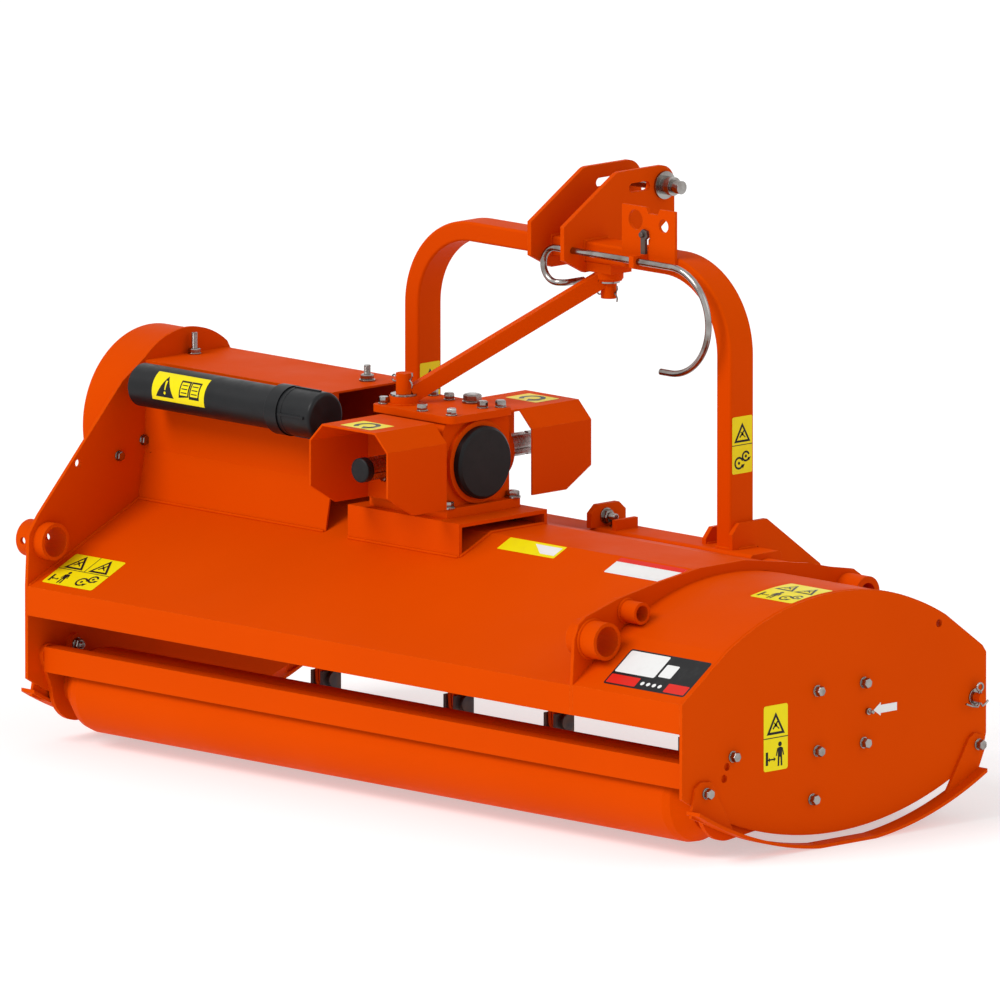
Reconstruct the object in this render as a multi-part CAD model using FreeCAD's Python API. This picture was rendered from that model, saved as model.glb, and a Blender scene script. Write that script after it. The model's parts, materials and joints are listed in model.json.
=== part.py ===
"""Side-shift flail mower for the three-point hitch of a small tractor.

Millimetres. +X points right seen from behind, +Y forward to the tractor, +Z up.
The machine is drawn from its rear plate edges (Y = 0) and its skid bottoms (Z = 0), and every
node is moved at the end so that the origin is the middle of the machine's box, on the ground.
"""
import FreeCAD, Part
import math
import os

# ---- driving dimensions -------------------------------------------------------------------
ORIGIN = (-28.5, 369.5, 0.0)    # middle of the machine's box on the ground
PLATE = 6.0                     # side plates
SHEET = 4.0                     # deck sheet
HALF_WIDTH = 698.0              # outer face of each side plate
INNER = HALF_WIDTH - PLATE      # inner face of each side plate
RIB_X = 463.0                   # left face of the rib between deck and end hood

ROTOR_Y, ROTOR_Z = 328.0, 187.0
ROTOR_TUBE_R = 60.0
ROTOR_END_X = 634.0
SHAFT_R = 20.0
FLAIL_COUNT = 18
FLAIL_PITCH = 71.0
FLAIL_BOLT_R = 84.0
FLAIL_SHANK_R = 7.0
FLAIL_TIP_R = 158.0
ROTOR_WALL, ROTOR_DISC = 9.0, 12.0
LUG_X, LUG_T, LUG_TOP_R = 4.2, 5.6, 15.0
BELT_SHAFT_X = -735.0           # shaft ends inside the belt guard
FIT = 0.05                      # running clearance on the radius

ROLLER_Y, ROLLER_Z = 97.0, 84.0
ROLLER_R = 65.0
ROLLER_STUB_R = 15.0
ARM = 8.0                       # roller arm plate
ARM_PIVOT = (269.0, 70.0)

SKID_CENTRE_Y, SKID_R = 322.0, 620.0
SKID_T, SKID_W = 5.0, 28.0
PLATE_ARC_Y, PLATE_ARC_Z, PLATE_ARC_R = 318.0, 630.0, 615.0
HOOD_ARC_Y, HOOD_ARC_Z, HOOD_ARC_R = 320.0, -77.0, 450.0

GEAR_X, GEAR_Y, GEAR_Z = -123.0, 319.0, 474.0
PTO_R = 17.45                   # 1 3/8 inch splined shaft
PTO_REAR_Y, PTO_FRONT_Y = 142.0, 499.0
CROSS_R = 17.5
BASE_Z = 398.0                  # top of the gearbox base channel
COVER_RIGHT_X = -290.0          # open right end of the shaft cover
COVER_TOP_Z = 558.0

BEAM_Y, BEAM_Z = 536.0, 284.0   # step in the deck's front edge that the hitch beam lies in
SLEEVE, BAR = 66.0, 54.0        # outer sleeve and slimmer inner bar of the beam
SLEEVE_LEFT_X, SLEEVE_RIGHT_X, BAR_LEFT_X = -40.0, 300.0, -490.0
TUBE_Y, TUBE_Z = BEAM_Y + SLEEVE / 2, BEAM_Z + SLEEVE / 2
TUBE_R, TUBE_BORE = 25.0, 15.0

ARCH_X = -105.0                 # middle of the hitch arch
ARCH_HALF = 347.0               # to the outer face of a leg
ARCH_Y, ARCH_DEPTH, ARCH_TUBE = 551.0, 50.0, 30.0
ARCH_TOP_Z, ARCH_BEND_R = 777.0, 140.0
LINK_T, LINK_GAP = 8.0, 58.0    # lower-link cheek thickness and the gap between a pair
LINK_PIN_Y, LINK_PIN_Z, LINK_PIN_R = 706.0, 290.0, 11.0
CHEEK_T, CHEEK_GAP = 8.0, 62.0
TOP_PIN_Y, TOP_PIN_Z, TOP_PIN_R = 717.0, 843.0, 9.5

HOOK_Y, HOOK_Z, HOOK_R = 526.0, 766.0, 5.0
FLAP_Y, FLAP_Z, FLAP_ROD_R = 608.0, 180.0, 7.0
FLAP_COUNT = 12

nodes = {}


# ---- shapes -------------------------------------------------------------------------------
def vec(x, y, z):
    return FreeCAD.Vector(x, y, z)


def block(x0, x1, y0, y1, z0, z1):
    return Part.makeBox(x1 - x0, y1 - y0, z1 - z0, vec(x0, y0, z0))


def rod_x(x0, x1, y, z, radius):
    return Part.makeCylinder(radius, x1 - x0, vec(x0, y, z), vec(1, 0, 0))


def rod_y(y0, y1, x, z, radius):
    return Part.makeCylinder(radius, y1 - y0, vec(x, y0, z), vec(0, 1, 0))


def rod_z(z0, z1, x, y, radius):
    return Part.makeCylinder(radius, z1 - z0, vec(x, y, z0), vec(0, 0, 1))


def ring_x(x0, x1, y, z, outer, inner):
    return rod_x(x0, x1, y, z, outer).cut(rod_x(x0 - 1, x1 + 1, y, z, inner))


def fuse(shapes):
    return shapes[0].multiFuse(shapes[1:]).removeSplitter() if len(shapes) > 1 else shapes[0]


def face_from(start, steps, place):
    """Closed face of straight runs (a point) and arcs (a pair: middle point, end point)."""
    edges = []
    here = start
    for step in list(steps) + [start]:
        if isinstance(step[0], tuple):
            middle, end = step
            edges.append(Part.Arc(place(here), place(middle), place(end)).toShape())
            here = end
        elif step != here:
            edges.append(Part.LineSegment(place(here), place(step)).toShape())
            here = step
    return Part.Face(Part.Wire(edges))


def plate_x(start, steps, x0, x1):
    """Plate square to X: outline points are (y, z)."""
    return face_from(start, steps, lambda p: vec(x0, p[0], p[1])).extrude(vec(x1 - x0, 0, 0))


def plate_y(start, steps, y0, y1):
    """Plate square to Y: outline points are (x, z)."""
    return face_from(start, steps, lambda p: vec(p[0], y0, p[1])).extrude(vec(0, y1 - y0, 0))


def inside_line(points, thickness):
    """The same run of points moved square to itself by the sheet's thickness."""
    normals = []
    for (a0, b0), (a1, b1) in zip(points, points[1:]):
        length = math.hypot(a1 - a0, b1 - b0)
        normals.append(((b1 - b0) / length, (a0 - a1) / length))
    moved = []
    for index, (a, b) in enumerate(points):
        before = normals[max(index - 1, 0)]
        after = normals[min(index, len(normals) - 1)]
        spread = 1 + before[0] * after[0] + before[1] * after[1]
        moved.append((a + thickness * (before[0] + after[0]) / spread,
                      b + thickness * (before[1] + after[1]) / spread))
    return moved


def bent_sheet_x(points, thickness, x0, x1):
    """Sheet bent about X: its outer (y, z) line, with the thickness on the right of the run."""
    return plate_x(points[0], points[1:] + inside_line(points, thickness)[::-1], x0, x1)


def link_outline(c0, r0, c1, r1):
    """Outline round two circles with their outer tangents, as a start and its steps."""
    distance = math.hypot(c1[0] - c0[0], c1[1] - c0[1])
    along = math.atan2(c1[1] - c0[1], c1[0] - c0[0])
    swing = math.acos((r0 - r1) / distance)

    def rim(centre, radius, angle):
        return (centre[0] + radius * math.cos(angle), centre[1] + radius * math.sin(angle))

    start = rim(c0, r0, along + swing)
    steps = [(rim(c0, r0, along + math.pi), rim(c0, r0, along - swing)),
             rim(c1, r1, along - swing),
             (rim(c1, r1, along), rim(c1, r1, along + swing))]
    return start, steps


def link_x(c0, r0, c1, r1, x0, x1):
    start, steps = link_outline(c0, r0, c1, r1)
    return plate_x(start, steps, x0, x1)


def mirrored(shape, x=0.0):
    return shape.mirror(vec(x, 0, 0), vec(1, 0, 0))


def swept_rod(edges, radius, start, direction):
    """Round bar along a run of tangent edges."""
    ring = Part.Wire(Part.makeCircle(radius, start, direction))
    return Part.Wire(edges).makePipeShell([ring], True, False)


# ---- deck -----------------------------------------------------------------------------------
DECK_LINE = [(0.0, 200.0), (0.0, 244.0), (290.0, 377.0), (400.0, 377.0), (BEAM_Y, 346.0),
             (BEAM_Y, BEAM_Z), (612.0, BEAM_Z), (632.0, 250.0), (632.0, 205.0)]


def under_deck():
    """The space below the deck's upper surface, for pieces that stand on it."""
    return plate_x((0.0, 0.0), DECK_LINE + [(632.0, 0.0)], -INNER, RIB_X)


def hood_top(y):
    return HOOD_ARC_Z + math.sqrt(HOOD_ARC_R ** 2 - (y - HOOD_ARC_Y) ** 2)


def plate_bottom(y):
    return PLATE_ARC_Z - math.sqrt(PLATE_ARC_R ** 2 - (y - PLATE_ARC_Y) ** 2)


def end_face(x):
    """Outline of the right end plate: arched top, straight ends and a bowed bottom."""
    start = (0.0, plate_bottom(0.0))
    steps = [(0.0, 245.0), (93.0, hood_top(93.0)),
             ((HOOD_ARC_Y, HOOD_ARC_Z + HOOD_ARC_R), (547.0, hood_top(547.0))),
             (624.0, 256.0), (632.0, 245.0), (632.0, 124.0), (625.0, plate_bottom(625.0)),
             ((PLATE_ARC_Y, PLATE_ARC_Z - PLATE_ARC_R), start)]
    return face_from(start, steps, lambda p: vec(x, p[0], p[1]))


def plate_holes(x0, x1, shaft_hole):
    """Shaft, slide-rod and roller-adjustment holes that both side plates share."""
    cuts = [rod_x(x0, x1, FLAP_Y, FLAP_Z, FLAP_ROD_R)]
    if shaft_hole:
        cuts.append(rod_x(x0, x1, ROTOR_Y, ROTOR_Z, 32.0))
    slot_r = math.hypot(ROLLER_Y - ARM_PIVOT[0] - 8.0, 62.0)
    for degrees in (158.0, 163.5):
        angle = math.radians(degrees)
        cuts.append(rod_x(x0, x1, ARM_PIVOT[0] + slot_r * math.cos(angle),
                          ARM_PIVOT[1] + slot_r * math.sin(angle), 6.0))
    return cuts


def side_plates():
    right = end_face(INNER).extrude(vec(PLATE, 0, 0))
    cuts = plate_holes(INNER - 1, HALF_WIDTH + 1, False)
    cuts.append(rod_x(INNER - 1, HALF_WIDTH + 1, 533.0, 300.0, 6.0))
    nodes["side_plate_right"] = right.cut(cuts)

    start = (0.0, plate_bottom(0.0))
    steps = [(0.0, 245.0), (4.0, 322.0), (24.0, 349.0), (197.0, 531.0), (245.0, 563.0),
             ((325.0, 597.0), (415.0, 567.0)), (470.0, 470.0), (590.0, 345.0),
             (632.0, 245.0), (632.0, 124.0), (625.0, plate_bottom(625.0)),
             ((PLATE_ARC_Y, PLATE_ARC_Z - PLATE_ARC_R), start)]
    left = plate_x(start, steps, -HALF_WIDTH, -INNER)
    cuts = plate_holes(-HALF_WIDTH - 1, -INNER + 1, True)
    cuts.append(rod_x(-HALF_WIDTH - 1, -INNER + 1, GEAR_Y, GEAR_Z, 28.0))
    cuts.append(rod_x(-HALF_WIDTH - 1, -INNER + 1, SOCKET_Y, SOCKET_Z, SOCKET_R))
    cuts.append(rod_x(-HALF_WIDTH - 1, -INNER + 1, 105.0, 418.0, 6.0))
    nodes["side_plate_left"] = left.cut(cuts)


def deck():
    shell = bent_sheet_x(DECK_LINE, SHEET, -INNER, RIB_X)
    nodes["deck_shell"] = shell

    outer = end_face(RIB_X + PLATE)
    width = INNER - RIB_X - PLATE
    inner = outer.makeOffset2D(-SHEET)
    hood = outer.extrude(vec(width, 0, 0)).cut(inner.extrude(vec(width, 0, 0)))
    hood = hood.cut([block(0, HALF_WIDTH, -1, 500, 0, 200), block(0, HALF_WIDTH, 499, 640, 0, 205)])
    nodes["end_hood"] = hood.cut(front_tube_space())

    rib_line = [(0.0, 247.0), (4.0, 312.0), (12.0, 333.0), (27.0, 343.0), (95.0, 362.0),
                (184.0, 377.0), (264.0, 387.0), (358.0, 387.0), (491.0, 366.0), (540.0, 354.0),
                (584.0, 346.0), (600.0, 335.0), (632.0, 250.0), (632.0, 205.0)]
    low_line = [(627.0, 205.0), (627.0, 247.0), (609.0, 279.0), (530.0, 279.0), (530.0, 334.0),
                (398.0, 367.0), (290.0, 367.0), (6.0, 236.0), (6.0, 200.0)]
    rib = plate_x((0.0, 200.0), rib_line + low_line, RIB_X, RIB_X + PLATE)
    cuts = [front_tube_space()]
    for y, z, radius, _ in RIB_SOCKETS:
        cuts.append(rod_x(RIB_X - 1, RIB_X + PLATE + 1, y, z, radius))
    nodes["deck_rib"] = rib.cut(cuts)


def front_tube_space():
    return rod_x(-INNER, 515.0, TUBE_Y, TUBE_Z, TUBE_R)


# ---- accessory sockets ----------------------------------------------------------------------
SOCKET_Y, SOCKET_Z, SOCKET_R, SOCKET_BORE = 39.0, 309.0, 28.0, 22.5
SMALL_Y, SMALL_Z, SMALL_R, SMALL_BORE = 111.0, 342.0, 16.5, 12.0
RIB_SOCKETS = [(SOCKET_Y, SOCKET_Z, SOCKET_R, SOCKET_BORE), (SMALL_Y, SMALL_Z, SMALL_R, SMALL_BORE)]
CROSS_HOLE_R = 5.5


def sockets():
    right = []
    for y, z, radius, bore in RIB_SOCKETS:
        right.append(ring_x(RIB_X - 20.0, RIB_X + PLATE + 33.0, y, z, radius, bore))
    nodes["accessory_sockets_right"] = Part.makeCompound(right)
    left = ring_x(-HALF_WIDTH - 31.0, -INNER + 20.0, SOCKET_Y, SOCKET_Z, SOCKET_R, SOCKET_BORE)
    left = left.cut(rod_y(SOCKET_Y - 40, SOCKET_Y + 40, -HALF_WIDTH - 16.0, SOCKET_Z, CROSS_HOLE_R))
    nodes["accessory_socket_left"] = left


# ---- belt guard and shaft cover -------------------------------------------------------------
def belt_guard():
    wall = 3.0
    depth = 80.0
    upper, lower = (331.0, 454.0), (ROTOR_Y, ROTOR_Z)
    outer = link_x(upper, 139.0, lower, 104.0, -HALF_WIDTH - depth, -HALF_WIDTH)
    rim = [edge for edge in outer.Edges if abs(edge.CenterOfMass.x + HALF_WIDTH + depth) < 0.1]
    outer = outer.makeFillet(8.0, rim)
    inner = link_x(upper, 139.0 - wall, lower, 104.0 - wall, -HALF_WIDTH - depth + wall, -HALF_WIDTH)
    nodes["belt_guard"] = outer.cut(inner)


def shaft_cover():
    line = [(226.0, 330.0), (234.0, 372.0), (244.0, 424.0), (244.0, COVER_TOP_Z), (411.0, COVER_TOP_Z),
            (411.0, 350.0)]
    cover = bent_sheet_x(line, 3.0, -INNER, COVER_RIGHT_X)
    lip = block(COVER_RIGHT_X - 3.0, COVER_RIGHT_X, 247.0, 258.0, 430.0, COVER_TOP_Z - 3.0)
    foot = plate_x((243.0, 330.0), [(243.0, 420.0), (300.0, 420.0), (300.0, 330.0)],
                   -INNER + 10.0, -INNER + 14.0)
    nodes["shaft_cover"] = fuse([cover, lip]).cut(under_deck())
    nodes["cover_foot"] = foot.cut([under_deck(), cover])


def manual_tube():
    """Black plastic tube for the operator's papers, clipped to the back of the shaft cover."""
    radius, y, z = 32.5, 244.0 - 39.0, 530.0
    left, right = -655.0, -262.0
    body = rod_x(left, right - 75.0, y, z, radius)
    neck = rod_x(right - 95.0, right - 70.0, y, z, 38.0)
    strap = block(left + 30.0, right - 110.0, y + 20.0, 244.0, z - 12.0, z + 12.0)
    nodes["manual_tube"] = fuse([body, neck, strap])
    cap = rod_x(right - 70.0, right, y, z, 36.0)
    cap = cap.makeFillet(6.0, [e for e in cap.Edges if abs(e.CenterOfMass.x - right) < 0.1])
    ribs = [block(right - 66.0, right - 12.0, y - 2.0, y + 2.0, z - 38.0, z + 38.0),
            block(right - 66.0, right - 12.0, y - 38.0, y + 34.0, z - 2.0, z + 2.0)]
    nodes["manual_tube_cap"] = fuse([cap] + ribs)


# ---- gearbox --------------------------------------------------------------------------------
def gearbox_base():
    x0, x1, y0, y1 = -237.0, 0.0, 225.0, 408.0
    line = [(y0, 330.0), (y0, BASE_Z), (y1, BASE_Z), (y1, 330.0)]
    nodes["gearbox_base"] = bent_sheet_x(line, 6.0, x0, x1).cut(under_deck())


def gearbox():
    half_y, half_z = 69.0, 64.0
    left, right = GEAR_X - 70.0, GEAR_X + 63.0
    body = block(left, right, GEAR_Y - half_y, GEAR_Y + half_y, GEAR_Z - half_z, GEAR_Z + half_z)
    body = body.makeFillet(14.0, [e for e in body.Edges if abs(e.tangentAt(e.FirstParameter).x) > 0.9])
    foot = block(left - 16.0, right + 16.0, GEAR_Y - 76.0, GEAR_Y + 76.0, BASE_Z, BASE_Z + 14.0)
    caps = [rod_y(GEAR_Y - 81.0, GEAR_Y - half_y + 1, GEAR_X, GEAR_Z, 46.0),
            rod_y(GEAR_Y + half_y - 1, GEAR_Y + 97.0, GEAR_X, GEAR_Z, 46.0),
            rod_x(left - 22.0, left + 1, GEAR_Y, GEAR_Z, 46.0),
            rod_x(right - 1, right + 8.0, GEAR_Y, GEAR_Z, 62.0)]
    ribs = []
    for side in (-1, 1):
        ribs.append(block(left + 8.0, right - 8.0, GEAR_Y + side * 58.0 - 4.0,
                          GEAR_Y + side * 58.0 + 4.0, BASE_Z, GEAR_Z))
    housing = fuse([body, foot] + caps + ribs)
    housing = housing.cut([rod_y(100.0, 560.0, GEAR_X, GEAR_Z, PTO_R + FIT),
                           rod_x(left - 30.0, GEAR_X - PTO_R - 3.0, GEAR_Y, GEAR_Z, CROSS_R + FIT)])
    nodes["gearbox_housing"] = housing

    cover_x = right + 8.0
    cap = rod_x(cover_x, cover_x + 14.0, GEAR_Y, GEAR_Z, 54.5)
    cap = cap.makeChamfer(4.0, [e for e in cap.Edges if abs(e.CenterOfMass.x - cover_x - 14.0) < 0.1])
    nodes["gearbox_cover"] = cap

    top = GEAR_Z + half_z
    plate = block(-218.0, right + 14.0, GEAR_Y - 66.0, GEAR_Y + 66.0, top, top + 11.0)
    corners = [e for e in plate.Edges if abs(e.tangentAt(e.FirstParameter).z) > 0.9]
    nodes["gearbox_top_plate"] = plate.makeFillet(12.0, corners)


def pto_guard(y_open, y_back):
    """Folded hood over a shaft stub, closed by the plate that is screwed to the gearbox."""
    half, flat, shoulder, low = 83.5, 56.5, 513.0, 413.0
    top = shoulder + half - flat
    wall = 3.0
    outer = [(GEAR_X - half, low), (GEAR_X - half, shoulder), (GEAR_X - flat, top),
             (GEAR_X + flat, top), (GEAR_X + half, shoulder), (GEAR_X + half, low)]
    inner = inside_line(outer, wall)[::-1]
    y0, y1 = min(y_open, y_back), max(y_open, y_back)
    hood = plate_y(outer[0], outer[1:] + inner, y0, y1)
    sign = 1 if y_open > y_back else -1
    corner = [(y_open, 444.0), (y_open - sign * 52.0, low), (y_open - sign * 52.0, low - 1.0),
              (y_open + sign, low - 1.0), (y_open + sign, 444.0)]
    hood = hood.cut(plate_x(corner[0], corner[1:], GEAR_X - half - 1, GEAR_X + half + 1))
    back_y = sorted((y_back, y_back + sign * wall))
    back = plate_y(outer[0], outer[1:], back_y[0], back_y[1])
    back = back.cut(rod_y(back_y[0] - 1, back_y[1] + 1, GEAR_X, GEAR_Z, 30.0))
    return fuse([hood, back])


def pto_guards():
    nodes["pto_guard_rear"] = pto_guard(116.0, GEAR_Y - 81.0)
    nodes["pto_guard_front"] = pto_guard(539.0, GEAR_Y + 97.0)


def splined_stub(y0, y1):
    """Six-spline stub of the power take-off shaft."""
    core = rod_y(y0, y1, GEAR_X, GEAR_Z, 14.8)
    lands = []
    for index in range(6):
        land = block(GEAR_X - 4.3, GEAR_X + 4.3, y0, y1, GEAR_Z, GEAR_Z + 25.0)
        land.rotate(vec(GEAR_X, 0, GEAR_Z), vec(0, 1, 0), 60.0 * index)
        lands.append(land)
    lands = fuse(lands).common(rod_y(y0, y1, GEAR_X, GEAR_Z, PTO_R))
    return core.fuse(lands)


def shafts():
    stub_y0, stub_y1 = 232.0, 422.0
    lock_groove = rod_y(478.0, 485.0, GEAR_X, GEAR_Z, 30.0).cut(rod_y(477.0, 486.0, GEAR_X, GEAR_Z, 15.4))
    front = splined_stub(stub_y1, PTO_FRONT_Y).cut(lock_groove)
    rear = splined_stub(PTO_REAR_Y, stub_y0)
    nodes["pto_shaft"] = fuse([rod_y(stub_y0, stub_y1, GEAR_X, GEAR_Z, PTO_R), front, rear])
    cap = rod_y(PTO_REAR_Y - 4.0, PTO_REAR_Y + 30.0, GEAR_X, GEAR_Z, PTO_R + 3.05)
    nodes["pto_cap"] = cap.cut(rod_y(PTO_REAR_Y, PTO_REAR_Y + 31.0, GEAR_X, GEAR_Z, PTO_R))

    cross = rod_x(BELT_SHAFT_X, GEAR_X - PTO_R - 8.0, GEAR_Y, GEAR_Z, CROSS_R)
    hub = rod_x(-262.0, -222.0, GEAR_Y, GEAR_Z, 26.0)
    flange = rod_x(-256.0, -244.0, GEAR_Y, GEAR_Z, 40.0)
    nodes["cross_shaft"] = fuse([cross, hub, flange])

    bearing = block(-INNER, -INNER + 12.0, GEAR_Y - 50.0, GEAR_Y + 50.0, GEAR_Z - 50.0, GEAR_Z + 50.0)
    boss = rod_x(-INNER + 1, -INNER + 32.0, GEAR_Y, GEAR_Z, 38.0)
    bore = rod_x(-INNER - 1, -INNER + 40.0, GEAR_Y, GEAR_Z, CROSS_R + FIT)
    nodes["cross_shaft_bearing"] = fuse([bearing, boss]).cut(bore)


# ---- rotor ----------------------------------------------------------------------------------
def station(index):
    """Place across the machine and angle round the rotor of one flail station."""
    x = (index - (FLAIL_COUNT - 1) / 2.0) * FLAIL_PITCH
    row = (index + (1 if index >= FLAIL_COUNT // 2 else 0)) % 4
    return x, 90.0 * row


def flail_blade(side):
    """One L-shaped blade: a shank on the lug and a foot bent out and ground to an edge."""
    inner, outer = 7.2, 13.2
    turn_r, tip = 118.0, FLAIL_TIP_R
    spread = 26.0
    line = [(FLAIL_BOLT_R - 13.0, inner), (turn_r, inner), (tip - 4.0, spread - 2.0)]
    back = [(tip, spread + 3.0), (turn_r - 4.0, outer), (FLAIL_BOLT_R - 13.0, outer)]
    points = [vec(side * x, -19.0, r) for r, x in line + back]
    blade = Part.Face(Part.makePolygon(points + points[:1])).extrude(vec(0, 38.0, 0))
    edge = Part.Face(Part.makePolygon([
        vec(side * 60.0, -25.0, tip + 9.0), vec(side * 60.0, -25.0, turn_r + 10.0),
        vec(side * 60.0, -12.0, tip + 9.0), vec(side * 60.0, -25.0, tip + 9.0)]))
    return blade.cut(edge.extrude(vec(-side * 70.0, 0, 0)))


def lug_pair():
    """Two plates that stand on the rotor tube and carry the flail bolt between them."""
    plates = []
    for side in (-1, 1):
        start = (-17.0, ROTOR_TUBE_R - 8.0)
        steps = [(-15.0, FLAIL_BOLT_R), ((0.0, FLAIL_BOLT_R + LUG_TOP_R), (15.0, FLAIL_BOLT_R)),
                 (17.0, ROTOR_TUBE_R - 8.0)]
        plate = plate_x(start, steps, side * LUG_X - LUG_T / 2, side * LUG_X + LUG_T / 2)
        plates.append(plate.cut([rod_x(-FLAIL_PITCH, FLAIL_PITCH, 0, 0, ROTOR_TUBE_R),
                                 rod_x(-FLAIL_PITCH, FLAIL_PITCH, 0, FLAIL_BOLT_R, FLAIL_SHANK_R)]))
    return plates


def turned(shape, x, degrees):
    """A piece drawn radially on +Z, put at x and turned round the rotor's axis."""
    copy = shape.copy()
    copy.rotate(vec(0, 0, 0), vec(1, 0, 0), degrees)
    copy.translate(vec(x, ROTOR_Y, ROTOR_Z))
    return copy


def rotor():
    pieces = [ring_x(-ROTOR_END_X, ROTOR_END_X, ROTOR_Y, ROTOR_Z, ROTOR_TUBE_R, ROTOR_TUBE_R - ROTOR_WALL)]
    for side in (-1, 1):
        x0, x1 = sorted((side * (ROTOR_END_X - ROTOR_DISC), side * ROTOR_END_X))
        pieces.append(rod_x(x0, x1, ROTOR_Y, ROTOR_Z, ROTOR_TUBE_R - 4.0))
    pieces.append(rod_x(BELT_SHAFT_X, -ROTOR_END_X + 6.0, ROTOR_Y, ROTOR_Z, SHAFT_R))
    pieces.append(rod_x(ROTOR_END_X - 6.0, INNER - 2.0, ROTOR_Y, ROTOR_Z, SHAFT_R))
    nodes["rotor_tube"] = pieces[0].multiFuse(pieces[1:])

    bolt = fuse([rod_x(-18.0, 18.0, 0, FLAIL_BOLT_R, FLAIL_SHANK_R),
                 rod_x(13.2, 20.0, 0, FLAIL_BOLT_R, 12.0)])
    flail = bolt.multiFuse([flail_blade(-1), flail_blade(1)])
    pair = lug_pair()
    flails, lugs = [], []
    for index in range(FLAIL_COUNT):
        x, degrees = station(index)
        angle = degrees - 90.0
        flails.append(turned(flail, x, angle))
        lugs += [turned(plate, x, angle) for plate in pair]
    nodes["flails"] = Part.makeCompound(flails)
    nodes["flail_lugs"] = Part.makeCompound(lugs)


def rotor_bearings():
    for name, side in (("rotor_bearing_right", 1), ("rotor_bearing_left", -1)):
        x_in, x_out = INNER - 12.0, INNER
        flange = block(x_in, x_out, ROTOR_Y - 63.0, ROTOR_Y + 63.0, ROTOR_Z - 59.0, ROTOR_Z + 59.0)
        flange = flange.makeFillet(14.0, [e for e in flange.Edges
                                          if abs(e.tangentAt(e.FirstParameter).x) > 0.9])
        boss = rod_x(INNER - 36.0, x_in + 1, ROTOR_Y, ROTOR_Z, 46.0)
        boss = boss.makeChamfer(5.0, [e for e in boss.Edges if abs(e.CenterOfMass.x - INNER + 36.0) < 0.1])
        depth = INNER + 1 if side < 0 else INNER - 1.0
        bearing = fuse([flange, boss]).cut(rod_x(INNER - 40.0, depth, ROTOR_Y, ROTOR_Z, SHAFT_R + FIT))
        nodes[name] = bearing if side > 0 else mirrored(bearing)


# ---- roller ---------------------------------------------------------------------------------
def roller():
    taper, end_r, half = 26.0, 44.0, 664.0
    profile = [(0.0, 0.0), (0.0, ROLLER_STUB_R), (16.0, ROLLER_STUB_R), (16.0, end_r),
               (16.0 + taper, ROLLER_R - 3.0), (16.0 + taper + 14.0, ROLLER_R)]
    half_line = [vec(-half - 14.0 + x, ROLLER_Y, ROLLER_Z + r) for x, r in profile]
    other = [vec(-p.x, p.y, p.z) for p in half_line[::-1]]
    face = Part.Face(Part.makePolygon(half_line + other + half_line[:1]))
    drum = face.revolve(vec(0, ROLLER_Y, ROLLER_Z), vec(1, 0, 0), 360.0)
    hollow = rod_x(-half + 16.0, half - 16.0, ROLLER_Y, ROLLER_Z, end_r - 4.0)
    wider = rod_x(-half + 56.0, half - 56.0, ROLLER_Y, ROLLER_Z, ROLLER_R - 5.0)
    nodes["rear_roller"] = drum.cut(hollow.fuse(wider))


def roller_arm():
    x0, x1 = INNER - ARM, INNER
    arm = fuse([link_x((ROLLER_Y, ROLLER_Z), 54.0, ARM_PIVOT, 20.0, x0, x1),
                link_x((ROLLER_Y, ROLLER_Z), 50.0, (40.0, 136.0), 17.0, x0, x1),
                link_x((ROLLER_Y, ROLLER_Z), 40.0, (94.0, 146.0), 16.0, x0, x1),
                rod_x(x0 - 8.0, x0 + 1, ROLLER_Y, ROLLER_Z, 30.0)])
    return arm.cut(rod_x(x0 - 10.0, x1 - 1.0, ROLLER_Y, ROLLER_Z, ROLLER_STUB_R + FIT))


def roller_mounts():
    nodes["roller_arm_right"] = roller_arm()
    nodes["roller_arm_left"] = mirrored(roller_arm())
    line = [(26.0, 112.0), (26.0, 150.0), (52.0, 150.0)]
    nodes["scraper_bar"] = bent_sheet_x(line, 5.0, -INNER + ARM, INNER - ARM)


# ---- skids ----------------------------------------------------------------------------------
def skid_point(y, inset=0.0):
    return (y, SKID_R - math.sqrt((SKID_R - inset) ** 2 - (y - SKID_CENTRE_Y) ** 2))


def skid():
    x0, x1 = HALF_WIDTH - 5.0, HALF_WIDTH - 5.0 + SKID_W
    flat = 58.0
    rear, front = 14.0, 612.0
    y_low, y_high = SKID_CENTRE_Y - flat, SKID_CENTRE_Y + flat
    drop = skid_point(y_low)[1]
    start = (rear, skid_point(rear)[1] - drop)
    steps = [((150.0, skid_point(150.0)[1] - drop), (y_low, 0.0)), (y_high, 0.0),
             ((500.0, skid_point(500.0)[1] - drop), (front, skid_point(front)[1] - drop)),
             (front, skid_point(front, SKID_T)[1] - drop),
             ((500.0, skid_point(500.0, SKID_T)[1] - drop), (y_high, SKID_T)), (y_low, SKID_T),
             ((150.0, skid_point(150.0, SKID_T)[1] - drop), (rear, skid_point(rear, SKID_T)[1] - drop))]
    strip = plate_x(start, steps, x0, x1)
    tab_x0, tab_x1 = HALF_WIDTH, HALF_WIDTH + SKID_T
    rear_tab = plate_x((14.0, 74.0), [(22.0, 118.0), (34.0, 126.0), (56.0, 124.0), (104.0, 40.0)],
                       tab_x0, tab_x1)
    front_tab = plate_x((540.0, 38.0), [(592.0, 120.0), (604.0, 127.0), (620.0, 122.0), (626.0, 104.0),
                                        (612.0, 74.0)], tab_x0, tab_x1)
    return fuse([strip, rear_tab, front_tab])


def skids():
    nodes["skid_right"] = skid()
    nodes["skid_left"] = mirrored(skid())


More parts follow.
